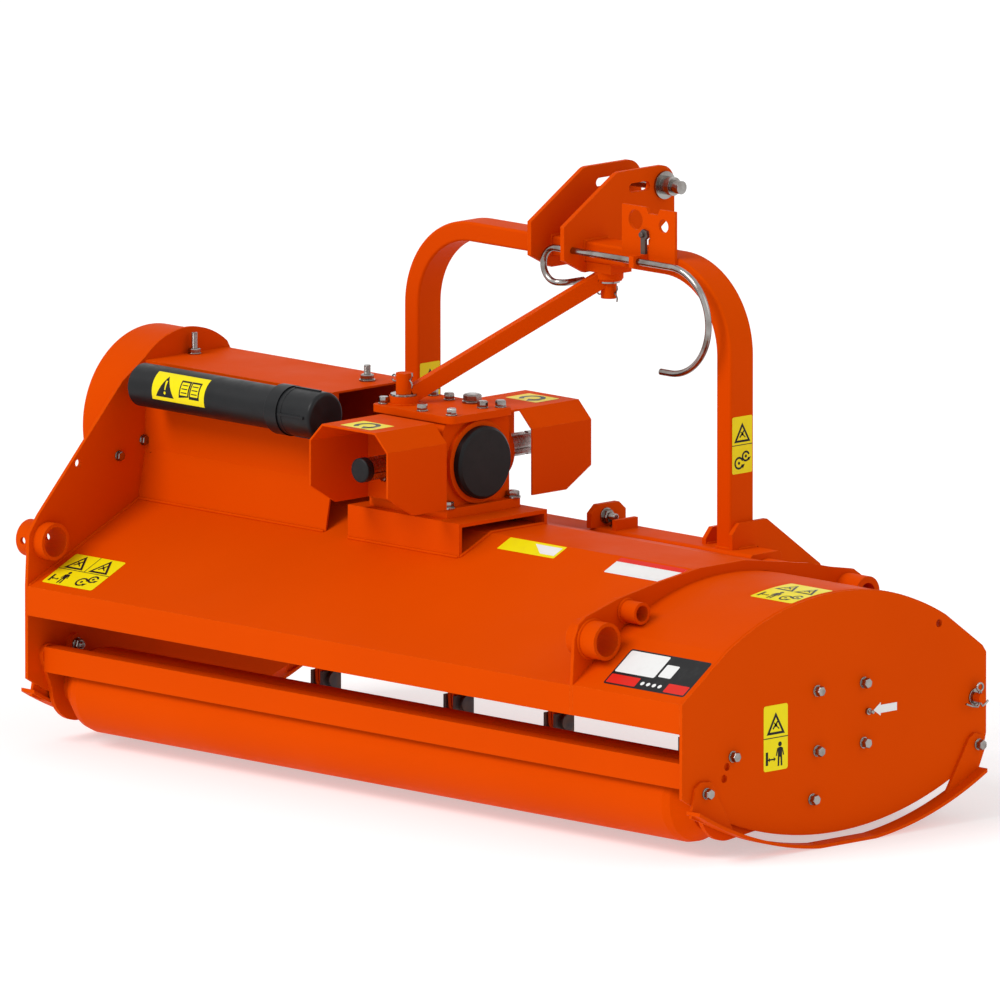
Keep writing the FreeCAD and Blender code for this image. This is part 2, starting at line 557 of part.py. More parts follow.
# ---- front flaps ----------------------------------------------------------------------------
def front_flaps():
    rod = rod_x(-HALF_WIDTH - 9.0, HALF_WIDTH + 16.0, FLAP_Y, FLAP_Z, FLAP_ROD_R)
    head = rod_x(-HALF_WIDTH - 15.0, -HALF_WIDTH - 7.0, FLAP_Y, FLAP_Z, 12.0)
    nodes["flap_rod"] = fuse([rod, head])
    pitch = 2 * (INNER - 6.0) / FLAP_COUNT
    flaps = []
    for index in range(FLAP_COUNT):
        x0 = -INNER + 6.0 + index * pitch + 1.5
        x1 = x0 + pitch - 3.0
        leaf = block(x0, x1, FLAP_Y - 3.0, FLAP_Y + 3.0, FLAP_Z - 104.0, FLAP_Z - 8.0)
        eye = rod_x(x0, x1, FLAP_Y, FLAP_Z, 11.0)
        flaps.append(fuse([leaf, eye]).cut(rod_x(x0 - 1, x1 + 1, FLAP_Y, FLAP_Z, FLAP_ROD_R + 0.1)))
    nodes["front_flaps"] = Part.makeCompound(flaps)


# ---- hitch ----------------------------------------------------------------------------------
def around_tube(x0, x1, size):
    """Square box round the slide tube."""
    half = size / 2
    return block(x0, x1, TUBE_Y - half, TUBE_Y + half, TUBE_Z - half, TUBE_Z + half)


def hitch_beam():
    nodes["slide_tube"] = ring_x(-INNER, 513.0, TUBE_Y, TUBE_Z, TUBE_R, TUBE_BORE)
    space = front_tube_space()
    sleeve = around_tube(SLEEVE_LEFT_X, SLEEVE_RIGHT_X, SLEEVE)
    sleeve = sleeve.makeFillet(7.0, [e for e in sleeve.Edges
                                     if abs(e.tangentAt(e.FirstParameter).x) > 0.9
                                     and e.CenterOfMass.z > BEAM_Z + 10])
    ear = plate_x((BEAM_Y - 6.0, BEAM_Z + 66.0),
                  [(BEAM_Y - 6.0, 372.0), (BEAM_Y + 8.0, 384.0), (BEAM_Y + 52.0, 384.0),
                   (BEAM_Y + 66.0, 372.0), (BEAM_Y + 66.0, BEAM_Z + 66.0)],
                  SLEEVE_LEFT_X, SLEEVE_LEFT_X + 10.0)
    stop = plate_x((BEAM_Y + 4.0, BEAM_Z + 60.0), [(BEAM_Y + 4.0, 366.0), (BEAM_Y + 50.0, 366.0),
                                                  (BEAM_Y + 50.0, BEAM_Z + 60.0)],
                   SLEEVE_LEFT_X + 44.0, SLEEVE_LEFT_X + 52.0)
    nodes["hitch_sleeve"] = fuse([sleeve, ear, stop]).cut(space)
    nodes["hitch_bar"] = around_tube(BAR_LEFT_X, SLEEVE_LEFT_X, BAR).cut(space)


def arch_run(inset, z_left, z_right):
    """Outline of the arch at a depth inside its outer edge, from the left foot to the right."""
    x0, x1 = ARCH_X - ARCH_HALF + inset, ARCH_X + ARCH_HALF - inset
    top = ARCH_TOP_Z - inset
    radius = ARCH_BEND_R - inset
    near = radius * (1 - math.cos(math.radians(45.0)))
    return [(x0, z_left), (x0, top - radius), ((x0 + near, top - near), (x0 + radius, top)),
            (x1 - radius, top), ((x1 - near, top - near), (x1, top - radius)), (x1, z_right)]


def hitch_arch():
    z_left, z_right = TUBE_Z + BAR / 2, TUBE_Z + SLEEVE / 2
    outer = arch_run(0.0, z_left, z_right)
    legs = plate_y(outer[0], outer[1:], ARCH_Y, ARCH_Y + ARCH_DEPTH)
    inner = arch_run(ARCH_TUBE, z_left - 20.0, z_left - 20.0)
    hollow = plate_y(inner[0], inner[1:], ARCH_Y - 1, ARCH_Y + ARCH_DEPTH + 1)
    below_right = block(ARCH_X, 400.0, ARCH_Y - 1, ARCH_Y + ARCH_DEPTH + 1, 0, z_right)
    arch = legs.cut([hollow, below_right])
    long_edges = [e for e in arch.Edges
                  if abs(e.tangentAt(e.FirstParameter).y) < 0.5 and e.CenterOfMass.z > z_right + 20]
    nodes["hitch_arch"] = arch.makeFillet(4.0, long_edges)


def link_cheek(x0, box_size, rear_y, top_z):
    """One plate of a lower-link bracket, notched to sit on the beam and against its front."""
    top, front = TUBE_Z + box_size / 2, TUBE_Y + box_size / 2
    start = (rear_y, top)
    steps = [(rear_y, top_z - 16.0), (rear_y + 14.0, top_z), (621.0, top_z), (LINK_PIN_Y + 26.0, LINK_PIN_Z + 18.0),
             ((LINK_PIN_Y + 20.0, LINK_PIN_Z - 24.0), (LINK_PIN_Y - 18.0, LINK_PIN_Z - 28.0)),
             (front, BEAM_Z - 6.0), (front, top)]
    plate = plate_x(start, steps, x0, x0 + LINK_T)
    return plate.cut([rod_x(x0 - 1, x0 + LINK_T + 1, LINK_PIN_Y, LINK_PIN_Z, LINK_PIN_R), under_deck()])


def lower_links():
    right_outer = ARCH_X + ARCH_HALF
    left_outer = ARCH_X - ARCH_HALF - LINK_T
    step = LINK_GAP + LINK_T
    nodes["link_plates_right"] = Part.makeCompound([
        link_cheek(right_outer, SLEEVE, 548.0, 389.0),
        link_cheek(right_outer - step, SLEEVE, 558.0, 374.0)])
    nodes["link_plates_left"] = Part.makeCompound([
        link_cheek(left_outer, BAR, 548.0, 389.0),
        link_cheek(left_outer + step, BAR, 558.0, 374.0)])
    for name, x0 in (("link_pin_right", right_outer - step), ("link_pin_left", left_outer)):
        pin = rod_x(x0 - 14.0, x0 + step + LINK_T + 14.0, LINK_PIN_Y, LINK_PIN_Z, LINK_PIN_R)
        head_x = x0 + step + LINK_T if x0 > 0 else x0 - 6.0
        nodes[name] = fuse([pin, rod_x(head_x, head_x + 6.0, LINK_PIN_Y, LINK_PIN_Z, 17.0)])


def top_cheek(x0):
    start = (508.0, 752.0)
    steps = [(508.0, 803.0), (612.0, 868.0), ((620.0, 872.0), (630.0, 873.0)), (712.0, 873.0),
             ((733.0, 862.0), (739.0, 846.0)), (739.0, 800.0), (700.0, 772.0), (601.0, 730.0), (551.0, 730.0)]
    plate = plate_x(start, steps, x0, x0 + CHEEK_T)
    beam = block(-400.0, 200.0, ARCH_Y, ARCH_Y + ARCH_DEPTH, ARCH_TOP_Z - ARCH_TUBE, ARCH_TOP_Z)
    slot_y0, slot_y1, slot_z, slot_r = 651.0, 681.0, 846.0, 7.0
    slot = fuse([rod_x(x0 - 1, x0 + CHEEK_T + 1, slot_y0, slot_z, slot_r),
                 rod_x(x0 - 1, x0 + CHEEK_T + 1, slot_y1, slot_z, slot_r),
                 block(x0 - 1, x0 + CHEEK_T + 1, slot_y0, slot_y1, slot_z - slot_r, slot_z + slot_r)])
    return plate.cut([beam, slot, rod_x(x0 - 1, x0 + CHEEK_T + 1, TOP_PIN_Y, TOP_PIN_Z, TOP_PIN_R)])


CHEEK_RIGHT_X = ARCH_X + CHEEK_GAP / 2.0
CHEEK_LEFT_X = ARCH_X - CHEEK_GAP / 2.0 - CHEEK_T


def top_hitch():
    hook_hole = rod_x(CHEEK_RIGHT_X - 1, CHEEK_RIGHT_X + CHEEK_T + 1, HOOK_Y, HOOK_Z, HOOK_R + 0.1)
    nodes["top_cheek_right"] = top_cheek(CHEEK_RIGHT_X).cut(hook_hole)
    nodes["top_cheek_left"] = top_cheek(CHEEK_LEFT_X)
    end = CHEEK_RIGHT_X + CHEEK_T
    nodes["top_link_pin"] = fuse([
        rod_x(CHEEK_LEFT_X - 12.0, end, TOP_PIN_Y, TOP_PIN_Z, TOP_PIN_R),
        rod_x(CHEEK_LEFT_X - 12.0, CHEEK_LEFT_X, TOP_PIN_Y, TOP_PIN_Z, 16.0),
        rod_x(end, end + 4.0, TOP_PIN_Y, TOP_PIN_Z, 21.0),
        rod_x(end + 4.0, end + 22.0, TOP_PIN_Y, TOP_PIN_Z, 14.0),
        rod_x(end + 22.0, end + 38.0, TOP_PIN_Y, TOP_PIN_Z, 10.0)])


def coupler_plate():
    """Rear-facing plate on the arch that parks the hose couplers, with a clip for the hook."""
    x0, x1, z0, z1 = 18.0, 130.0, 757.0, 845.0
    start = (x0, z0)
    steps = [(x0, z1), (x0 + 52.0, z1), (x0 + 56.0, z1 - 9.0), (x0 + 76.0, z1 - 9.0), (x0 + 80.0, z1),
             (x1, z1), (x1, z0)]
    plate = plate_y(start, steps, ARCH_Y - 5.0, ARCH_Y)
    key_x = x0 + 50.0
    cuts = [rod_y(ARCH_Y - 6, ARCH_Y + 1, x0 + 29.0, z1 - 21.0, 15.0),
            rod_y(ARCH_Y - 6, ARCH_Y + 1, x0 + 88.0, z1 - 24.0, 10.0),
            rod_y(ARCH_Y - 6, ARCH_Y + 1, key_x, 803.0, 9.0),
            block(key_x - 6.0, key_x + 6.0, ARCH_Y - 6, ARCH_Y + 1, 780.0, 803.0)]
    clip = block(key_x - 5.0, key_x + 5.0, HOOK_Y - 10.0, ARCH_Y - 4.0, 757.0, 775.0)
    clip = clip.cut(rod_x(key_x - 6.0, key_x + 6.0, HOOK_Y, HOOK_Z, HOOK_R + 0.1))
    nodes["coupler_plate"] = fuse([plate.cut(cuts), clip])


def shaft_hook():
    """Round bar that holds up the drive shaft when the mower is parked; it swings in the cheek."""
    bow_r, loop_r = 80.0, 26.0
    loop_x = CHEEK_RIGHT_X - 14.0
    bow_x = 141.0
    tail_z = HOOK_Z - 2 * loop_r
    turn = 14.0

    def at(x, z, y=HOOK_Y):
        return vec(x, y, z)

    edges = [
        Part.LineSegment(at(loop_x, tail_z, HOOK_Y + 44.0), at(loop_x, tail_z, HOOK_Y + turn)).toShape(),
        Part.Arc(at(loop_x, tail_z, HOOK_Y + turn),
                 at(loop_x - turn * 0.293, tail_z, HOOK_Y + turn * 0.293),
                 at(loop_x - turn, tail_z)).toShape(),
        Part.Arc(at(loop_x - turn, tail_z), at(loop_x - turn - loop_r, HOOK_Z - loop_r),
                 at(loop_x - turn, HOOK_Z)).toShape(),
        Part.LineSegment(at(loop_x - turn, HOOK_Z), at(bow_x, HOOK_Z)).toShape(),
        Part.Arc(at(bow_x, HOOK_Z), at(bow_x + bow_r, HOOK_Z - bow_r),
                 at(bow_x, HOOK_Z - 2 * bow_r)).toShape(),
        Part.LineSegment(at(bow_x, HOOK_Z - 2 * bow_r), at(bow_x - 20.0, HOOK_Z - 2 * bow_r)).toShape()]
    nodes["shaft_hook"] = swept_rod(edges, HOOK_R, at(loop_x, tail_z, HOOK_Y + 44.0), vec(0, -1, 0))


# ---- diagonal brace -------------------------------------------------------------------------
def brace():
    low = (-186.0, 292.0, GEAR_Z + 64.0 + 11.0)
    high = (-40.0, ARCH_Y + 25.0, 722.0)
    eye_t, eye_r, pin_r = 10.0, 22.0, 12.0
    length = math.dist(low[:2], high[:2])
    rise = high[2] - low[2] - 2.0
    run = math.hypot(length, rise)
    bar = block(14.0, run - 14.0, -9.0, 9.0, -12.0, 12.0)
    bar.rotate(vec(0, 0, 0), vec(0, 1, 0), -math.degrees(math.atan2(rise, length)))
    bar.rotate(vec(0, 0, 0), vec(0, 0, 1), math.degrees(math.atan2(high[1] - low[1], high[0] - low[0])))
    bar.translate(vec(low[0], low[1], low[2] + 7.0))
    eyes = [rod_z(low[2] + 2.0, low[2] + 2.0 + eye_t, low[0], low[1], eye_r),
            rod_z(high[2], high[2] + eye_t, high[0], high[1], eye_r)]
    cuts = [rod_z(low[2] - 30.0, low[2] + 60.0, low[0], low[1], pin_r),
            rod_z(high[2] - 60.0, high[2] + 60.0, high[0], high[1], pin_r),
            block(-300.0, 0.0, 200.0, 400.0, low[2] - 40.0, low[2] + 2.0),
            block(-120.0, 40.0, 540.0, 640.0, high[2] + eye_t, high[2] + 60.0),
            rod_z(high[2] - 3.0, high[2], high[0], high[1], 21.0)]
    nodes["brace_bar"] = fuse([bar] + eyes).cut(cuts)
    low_pin = fuse([rod_z(low[2], low[2] + 46.0, low[0], low[1], pin_r),
                    rod_z(low[2], low[2] + 2.0, low[0], low[1], 26.0)])
    high_pin = fuse([rod_z(high[2] - 30.0, ARCH_TOP_Z - ARCH_TUBE, high[0], high[1], pin_r),
                     rod_z(high[2] - 3.0, high[2], high[0], high[1], 20.0),
                     block(high[0] - 26.0, high[0] + 26.0, ARCH_Y + 3.0, ARCH_Y + 47.0,
                           high[2] + eye_t, ARCH_TOP_Z - ARCH_TUBE)])
    nodes["brace_pins"] = Part.makeCompound([low_pin, high_pin])


# ---- build ----------------------------------------------------------------------------------
def main():
    side_plates()
    deck()
    sockets()
    belt_guard()
    shaft_cover()
    manual_tube()
    gearbox_base()
    gearbox()
    pto_guards()
    shafts()
    rotor()
    rotor_bearings()
    roller()
    roller_mounts()
    skids()
    front_flaps()
    hitch_beam()
    hitch_arch()
    lower_links()
    top_hitch()
    coupler_plate()
    shaft_hook()
    brace()
    os.makedirs("parts", exist_ok=True)
    whole = Part.makeCompound(list(nodes.values())).BoundBox
    print("box", whole)
    for name, shape in nodes.items():
        placed = shape.copy()
        placed.translate(vec(-ORIGIN[0], -ORIGIN[1], -ORIGIN[2]))
        placed.exportStep("parts/" + name + ".step")
        print(name, len(placed.Solids), round(placed.Volume), placed.isValid())


main()
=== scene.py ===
"""Finishes, fasteners, welds, stickers and studio for the side-shift flail mower."""

import json
import logging
import math
from dataclasses import dataclass, field
from enum import Enum
from typing import Sequence

import bmesh
import bpy
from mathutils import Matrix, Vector


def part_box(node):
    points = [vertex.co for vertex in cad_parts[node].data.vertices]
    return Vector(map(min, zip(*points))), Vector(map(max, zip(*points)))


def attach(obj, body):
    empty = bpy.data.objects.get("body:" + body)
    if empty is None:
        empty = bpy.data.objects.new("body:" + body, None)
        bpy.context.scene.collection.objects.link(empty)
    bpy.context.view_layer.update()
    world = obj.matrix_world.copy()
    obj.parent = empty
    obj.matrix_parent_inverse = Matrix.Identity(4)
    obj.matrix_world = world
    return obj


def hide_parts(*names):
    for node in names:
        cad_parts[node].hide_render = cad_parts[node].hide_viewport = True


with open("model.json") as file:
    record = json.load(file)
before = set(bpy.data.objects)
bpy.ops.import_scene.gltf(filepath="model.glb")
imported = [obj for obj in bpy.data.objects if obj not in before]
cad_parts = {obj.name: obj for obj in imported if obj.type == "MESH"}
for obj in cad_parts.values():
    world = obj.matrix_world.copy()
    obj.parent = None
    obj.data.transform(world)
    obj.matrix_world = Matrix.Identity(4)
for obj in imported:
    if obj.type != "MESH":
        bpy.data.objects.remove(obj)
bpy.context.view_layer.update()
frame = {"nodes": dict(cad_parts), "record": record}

log = logging.getLogger("flail_mower")
MM = 0.001
BODY = "mower"
WHITE = (1.0, 1.0, 1.0)
RIGHT, LEFT = Vector((1, 0, 0)), Vector((-1, 0, 0))
FORE, AFT = Vector((0, 1, 0)), Vector((0, -1, 0))
UP, DOWN = Vector((0, 0, 1)), Vector((0, 0, -1))

Point2 = tuple[float, float]
Point3 = tuple[float, float, float]
Material = bpy.types.Material
Socket = bpy.types.NodeSocket
Value = float | Point3 | Socket


# ---- names and places ----
class Slot(Enum):
    """Material slots of the record."""

    PAINT = "orange_paint"
    PLASTIC = "black_plastic"
    COVER = "black_cover"
    RUBBER = "black_rubber"
    ZINC = "zinc_steel"
    SHAFT = "shaft_steel"
    DARK = "dark_steel"


class Hex(Enum):
    """Hexagon screws: width across flats, head height, washer radius, washer height, in millimetres."""

    M8 = (13.0, 5.4, 8.2, 1.8)
    M8_TALL = (14.0, 9.0, 8.6, 1.8)
    M10 = (16.0, 6.6, 10.2, 2.2)
    M12 = (18.0, 7.8, 12.2, 2.6)
    M16 = (24.0, 10.2, 15.5, 3.2)


class Ink(Enum):
    """Films of a sticker, by their index on its mesh."""

    YELLOW = 0
    BLACK = 1
    WHITE = 2
    RED = 3


@dataclass(frozen=True)
class Datum:
    """Drawing datum: middle between the side plates, rear plate edge, ground."""

    x: float
    y: float

    @classmethod
    def from_frame(cls) -> "Datum":
        """Reads the datum from the two side plates."""
        left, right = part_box("side_plate_left"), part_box("side_plate_right")
        return cls((left[0].x + right[1].x) / 2, right[0].y)

    def at(self, x: float, y: float, z: float) -> Vector:
        """Point of the frame, in metres, for drawing millimetres from the datum."""
        return Vector((self.x + x * MM, self.y + y * MM, z * MM))


def across(axis: Vector) -> tuple[Vector, Vector]:
    """Finds two unit vectors square to an axis and to each other.

    Args:
        axis: a unit direction.

    Returns:
        The two unit vectors.
    """
    helper = UP if abs(axis.z) < 0.9 else RIGHT
    first = axis.cross(helper).normalized()
    return first, axis.cross(first).normalized()


def stand(name: str, data: bpy.types.ID, azimuth: float, elevation: float, distance: float = 0.0,
          aim: Point3 = (0.0, 0.0, 0.0)) -> bpy.types.Object:
    """Makes a lamp or camera that faces the machine.

    Args:
        name: name of the object.
        data: its lamp or camera.
        azimuth: degrees round the machine, from straight behind towards the right.
        elevation: degrees above the ground.
        distance: metres from the point that it faces.
        aim: that point.

    Returns:
        The new object.
    """
    a, e = math.radians(azimuth), math.radians(elevation)
    back = Vector((math.sin(a) * math.cos(e), -math.cos(a) * math.cos(e), math.sin(e)))
    made = bpy.data.objects.new(name, data)
    made.location = Vector(aim) + back * distance
    made.rotation_mode = "QUATERNION"
    made.rotation_quaternion = back.to_track_quat("Z", "Y")
    bpy.context.scene.collection.objects.link(made)
    return made


# ---- meshes ----
@dataclass
class MeshPen:
    """Collects many small shapes, sized in millimetres, and makes one joined mesh of them."""

    points: list[Vector] = field(default_factory=list)
    faces: list[list[int]] = field(default_factory=list)
    marks: list[int] = field(default_factory=list)

    def add(self, points: Sequence[Vector], faces: Sequence[Sequence[int]], mark: int = 0) -> None:
        """Adds a shape.

        Args:
            points: its points, in metres.
            faces: its faces, as indices into those points.
            mark: index of its material on the finished mesh.
        """
        base = len(self.points)
        self.points.extend(points)
        for face in faces:
            self.faces.append([base + index for index in face])
            self.marks.append(mark)

    def skin(self, points: Sequence[Vector], sides: int) -> None:
        """Joins rings of points to a closed solid with flat ends.

        Args:
            points: the rings, one after another.
            sides: number of points in each ring.
        """
        last = len(points) - sides
        faces = [[low + side, low + after, low + sides + after, low + sides + side]
                 for low in range(0, last, sides)
                 for side, after in enumerate([*range(1, sides), 0])]
        self.add(points, faces + [list(range(sides))[::-1], list(range(last, last + sides))])

    def lathe(self, origin: Vector, axis: Vector, profile: Sequence[Point2], sides: int = 24,
              turn: float = 0.0) -> None:
        """Turns a profile round an axis.

        Args:
            origin: point on the axis where it starts.
            axis: unit direction of the axis.
            profile: distance along the axis and radius of each step.
            sides: number of sides round the axis.
            turn: angle of the first side in radians.
        """
        u, v = across(axis)
        angles = [turn + 2 * math.pi * side / sides for side in range(sides)]
        self.skin([origin + axis * (along * MM) + (u * math.cos(t) + v * math.sin(t)) * (radius * MM)
                   for along, radius in profile for t in angles], sides)

    def tube(self, path: Sequence[Vector], radii: float | Sequence[float], sides: int = 8) -> None:
        """Draws a round bar.

        Args:
            path: points of its middle line, in metres.
            radii: its radius, or one radius for each point.
            sides: number of sides round the bar.
        """
        ring: list[Vector] = []
        axis = (path[1] - path[0]).normalized()
        u, v = across(axis)
        for index, point in enumerate(path):
            ahead = (path[min(index + 1, len(path) - 1)] - path[max(index - 1, 0)]).normalized()
            turn = axis.rotation_difference(ahead)
            axis, u, v = ahead, turn @ u, turn @ v
            radius = radii if isinstance(radii, float) else radii[index]
            for t in (2 * math.pi * side / sides for side in range(sides)):
                ring.append(point + (u * math.cos(t) + v * math.sin(t)) * (radius * MM))
        self.skin(ring, sides)

    def slab(self, outline: Sequence[Vector], normal: Vector, thickness: float) -> None:
        """Raises a flat plate of a thickness on a closed outline, along its normal."""
        self.skin([*outline, *(point + normal * (thickness * MM) for point in outline)], len(outline))

    def build(self, name: str, materials: Sequence[Material], smooth: float = 35.0, body: str = BODY) -> bpy.types.Object:
        """Makes the mesh object and lets it ride on a body.

        Args:
            name: name of the piece.
            materials: its materials, in the order of the marks.
            smooth: largest angle, in degrees, that shades round.
            body: the body that carries it.

        Returns:
            The new object.
        """
        mesh = bpy.data.meshes.new(name)
        mesh.from_pydata([tuple(p) for p in self.points], [], self.faces)
        mesh.polygons.foreach_set("material_index", self.marks)
        mesh.polygons.foreach_set("use_smooth", [True] * len(self.faces))
        mesh.set_sharp_from_angle(angle=math.radians(smooth))
        for material in materials:
            mesh.materials.append(material)
        mesh.validate()
        piece = bpy.data.objects.new(name, mesh)
        bpy.context.scene.collection.objects.link(piece)
        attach(piece, body)
        log.info("%s: %d faces on %s", name, len(self.faces), body)
        return piece


# ---- finishes ----
@dataclass
class Nodes:
    """The node tree of a material or of the sky, with short ways to add to it."""

    owner: Material | bpy.types.World

    @classmethod
    def new(cls, name: str) -> "Nodes":
        """Starts a material with a shader and its output.

        Args:
            name: name of the material.

        Returns:
            The material's nodes.
        """
        material = bpy.data.materials.new(name)
        material.use_nodes = True
        return cls(material)

    @property
    def shader(self) -> bpy.types.Node:
        """The principled shader."""
        return self.owner.node_tree.nodes["Principled BSDF"]

    def give(self, into: Socket, value: Value) -> None:
        """Joins a socket to an input, or sets the input to a number or colour.

        Args:
            into: the input.
            value: the socket, number or colour.
        """
        if isinstance(value, Socket):
            self.owner.node_tree.links.new(value, into)
        else:
            into.default_value = (*value, 1.0) if into.type == "RGBA" else value

    def set(self, name: str, value: Value) -> None:
        """Gives the shader's input of that name a socket, number or colour."""
        self.give(self.shader.inputs[name], value)

    def node(self, kind: str, *sockets: Socket, **values: object) -> bpy.types.Node:
        """Adds a node.

        Args:
            kind: type of the node.
            *sockets: what its first inputs are joined to.
            **values: its properties or, in small letters, its inputs.

        Returns:
            The new node.
        """
        made = self.owner.node_tree.nodes.new(kind)
        for key, value in values.items():
            if hasattr(made, key) and not isinstance(value, Socket):
                setattr(made, key, value)
            else:
                self.give(made.inputs[key.replace("_", " ").title()], value)
        for into, socket in zip(made.inputs, sockets):
            self.give(into, socket)
        return made

    def noise(self, scale: float, detail: float = 3.0, stretch: Point3 = (1, 1, 1)) -> Socket:
        """Adds a noise in object space.

        Args:
            scale: repeats per metre.
            detail: number of finer layers.
            stretch: factors along the three axes.

        Returns:
            The socket with its value.
        """
        place = self.node("ShaderNodeTexCoord").outputs["Object"]
        place = self.node("ShaderNodeMapping", place, scale=stretch).outputs["Vector"]
        return self.node("ShaderNodeTexNoise", place, scale=scale, detail=detail).outputs["Fac"]

    def spread(self, value: Socket, low: float, high: float, start: float = 0.3,
               stop: float = 0.7) -> Socket:
        """Maps a value, or the middle of a noise, from start and stop to low and high."""
        return self.node("ShaderNodeMapRange", value, from_min=start, from_max=stop, to_min=low,
                         to_max=high).outputs["Result"]

    def blend(self, share: Socket, first: Point3 | Socket, second: Point3) -> Socket:
        """Mixes two colours.

        Args:
            share: share of the second colour, from 0 to 1.
            first: a colour, or a socket that gives one.
            second: a colour.

        Returns:
            The socket with the mixed colour.
        """
        mix = self.node("ShaderNodeMix", data_type="RGBA")
        for index, value in ((0, share), (6, first), (7, second)):
            self.give(mix.inputs[index], value)
        return mix.outputs[2]

    def bevel(self, radius: float) -> Socket:
        """Normal over edges rounded by a radius in millimetres."""
        return self.node("ShaderNodeBevel", samples=4, radius=radius * MM).outputs["Normal"]

    def relief(self, height: Socket, strength: float, depth: float, edge: float = 0.0) -> None:
        """Bumps the surface, over edges that are rounded if asked.

        Args:
            height: the height.
            strength: share of the bump that shows.
            depth: height of the bump in millimetres.
            edge: radius of the rounded edges in millimetres.
        """
        bump = self.node("ShaderNodeBump", strength=strength, distance=depth * MM, height=height)
        if edge > 0:
            self.give(bump.inputs["Normal"], self.bevel(edge))
        self.set("Normal", bump.outputs["Normal"])

    def edge_mask(self, radius: float) -> Socket:
        """Finds the edges: how far the rounded normal leans from the flat one.

        Args:
            radius: width of the edges in millimetres.

        Returns:
            The socket with a share that is high on edges.
        """
        flat = self.node("ShaderNodeNewGeometry").outputs["Normal"]
        dot = self.node("ShaderNodeVectorMath", self.bevel(radius), flat, operation="DOT_PRODUCT")
        return self.spread(dot.outputs["Value"], 1.0, 0.0, 0.86, 0.995)


@dataclass(frozen=True)
class Paint:
    """Powder coat: slight orange peel, and lighter in specks along its edges, part worn paint and part
    painted highlight.
    """

    name: str
    colour: Point3
    shade: Point3
    # lighter edge colour: part worn paint, part painted highlight
    edge: Point3
    roughness: float = 0.5
    shine: float = 0.018
    tint: Point3 = (1.0, 0.36, 0.08)

    def material(self) -> Material:
        """Builds the material.

        Returns:
            The material.
        """
        nodes = Nodes.new(self.name)
        cloud = nodes.spread(nodes.noise(3.2, 4.0), 0.0, 0.55)
        colour = nodes.blend(cloud, self.colour, self.shade)
        chips = nodes.spread(nodes.noise(160.0, 5.0), 0.0, 1.0, 0.45, 0.62)
        # painted highlight mixed with wear: specks along the edges take the lighter edge colour
        edge_wear_and_highlight = nodes.node("ShaderNodeMath", nodes.edge_mask(1.6), chips, operation="MULTIPLY")
        nodes.set("Base Color", nodes.blend(edge_wear_and_highlight.outputs[0], colour, self.edge))
        gloss = nodes.noise(11.0, 3.0)
        nodes.set("Roughness", nodes.spread(gloss, self.roughness - 0.05, self.roughness + 0.08))
        nodes.set("Specular IOR Level", self.shine)
        nodes.set("Specular Tint", self.tint)
        nodes.relief(nodes.noise(420.0, 2.0), 0.12, 0.35, 1.1)
        return nodes.owner


@dataclass(frozen=True)
class Metal:
    """Bare or plated steel with streaks along one direction."""

    name: str
    colour: Point3
    stain: Point3
    roughness: float = 0.34
    stretch: Point3 = (1.0, 1.0, 1.0)
    metallic: float = 1.0

    def material(self) -> Material:
        """Builds the material.

        Returns:
            The material.
        """
        nodes = Nodes.new(self.name)
        stains = nodes.spread(nodes.noise(38.0, 5.0), 0.0, 0.8, 0.42, 0.68)
        nodes.set("Base Color", nodes.blend(stains, self.colour, self.stain))
        nodes.set("Metallic", self.metallic)
        gloss = nodes.noise(90.0, 4.0, self.stretch)
        nodes.set("Roughness", nodes.spread(gloss, self.roughness - 0.08, self.roughness + 0.14))
        nodes.relief(nodes.noise(600.0, 3.0, self.stretch), 0.25, 0.12, 0.5)
        return nodes.owner


@dataclass(frozen=True)
class Moulded:
    """Moulded plastic or rubber with a fine grain."""

    name: str
    colour: Point3
    dust: Point3
    roughness: float = 0.38
    grain: float = 900.0
    shine: float = 0.22

    def material(self) -> Material:
        """Builds the material.

        Returns:
            The material.
        """
        nodes = Nodes.new(self.name)
        dust = nodes.spread(nodes.noise(14.0, 5.0), 0.0, 0.5, 0.45, 0.75)
        nodes.set("Base Color", nodes.blend(dust, self.colour, self.dust))
        gloss = nodes.noise(60.0, 3.0)
        nodes.set("Roughness", nodes.spread(gloss, self.roughness - 0.06, self.roughness + 0.1))
        nodes.set("Specular IOR Level", self.shine)
        nodes.relief(nodes.noise(self.grain, 2.0), 0.3, 0.15, 0.8)
        return nodes.owner


@dataclass(frozen=True)
class Film:
    """Printed sticker film."""

    name: str
    colour: Point3
    worn: Point3
    shine: float = 0.12

    def material(self) -> Material:
        """Builds the material.

        Returns:
            The material.
        """
        nodes = Nodes.new(self.name)
        wear = nodes.spread(nodes.noise(55.0, 5.0), 0.0, 0.6, 0.5, 0.75)
        nodes.set("Base Color", nodes.blend(wear, self.colour, self.worn))
        nodes.set("Roughness", nodes.spread(nodes.noise(30.0), 0.28, 0.42))
        nodes.set("Specular IOR Level", self.shine)
        nodes.relief(nodes.noise(300.0), 0.08, 0.1)
        return nodes.owner


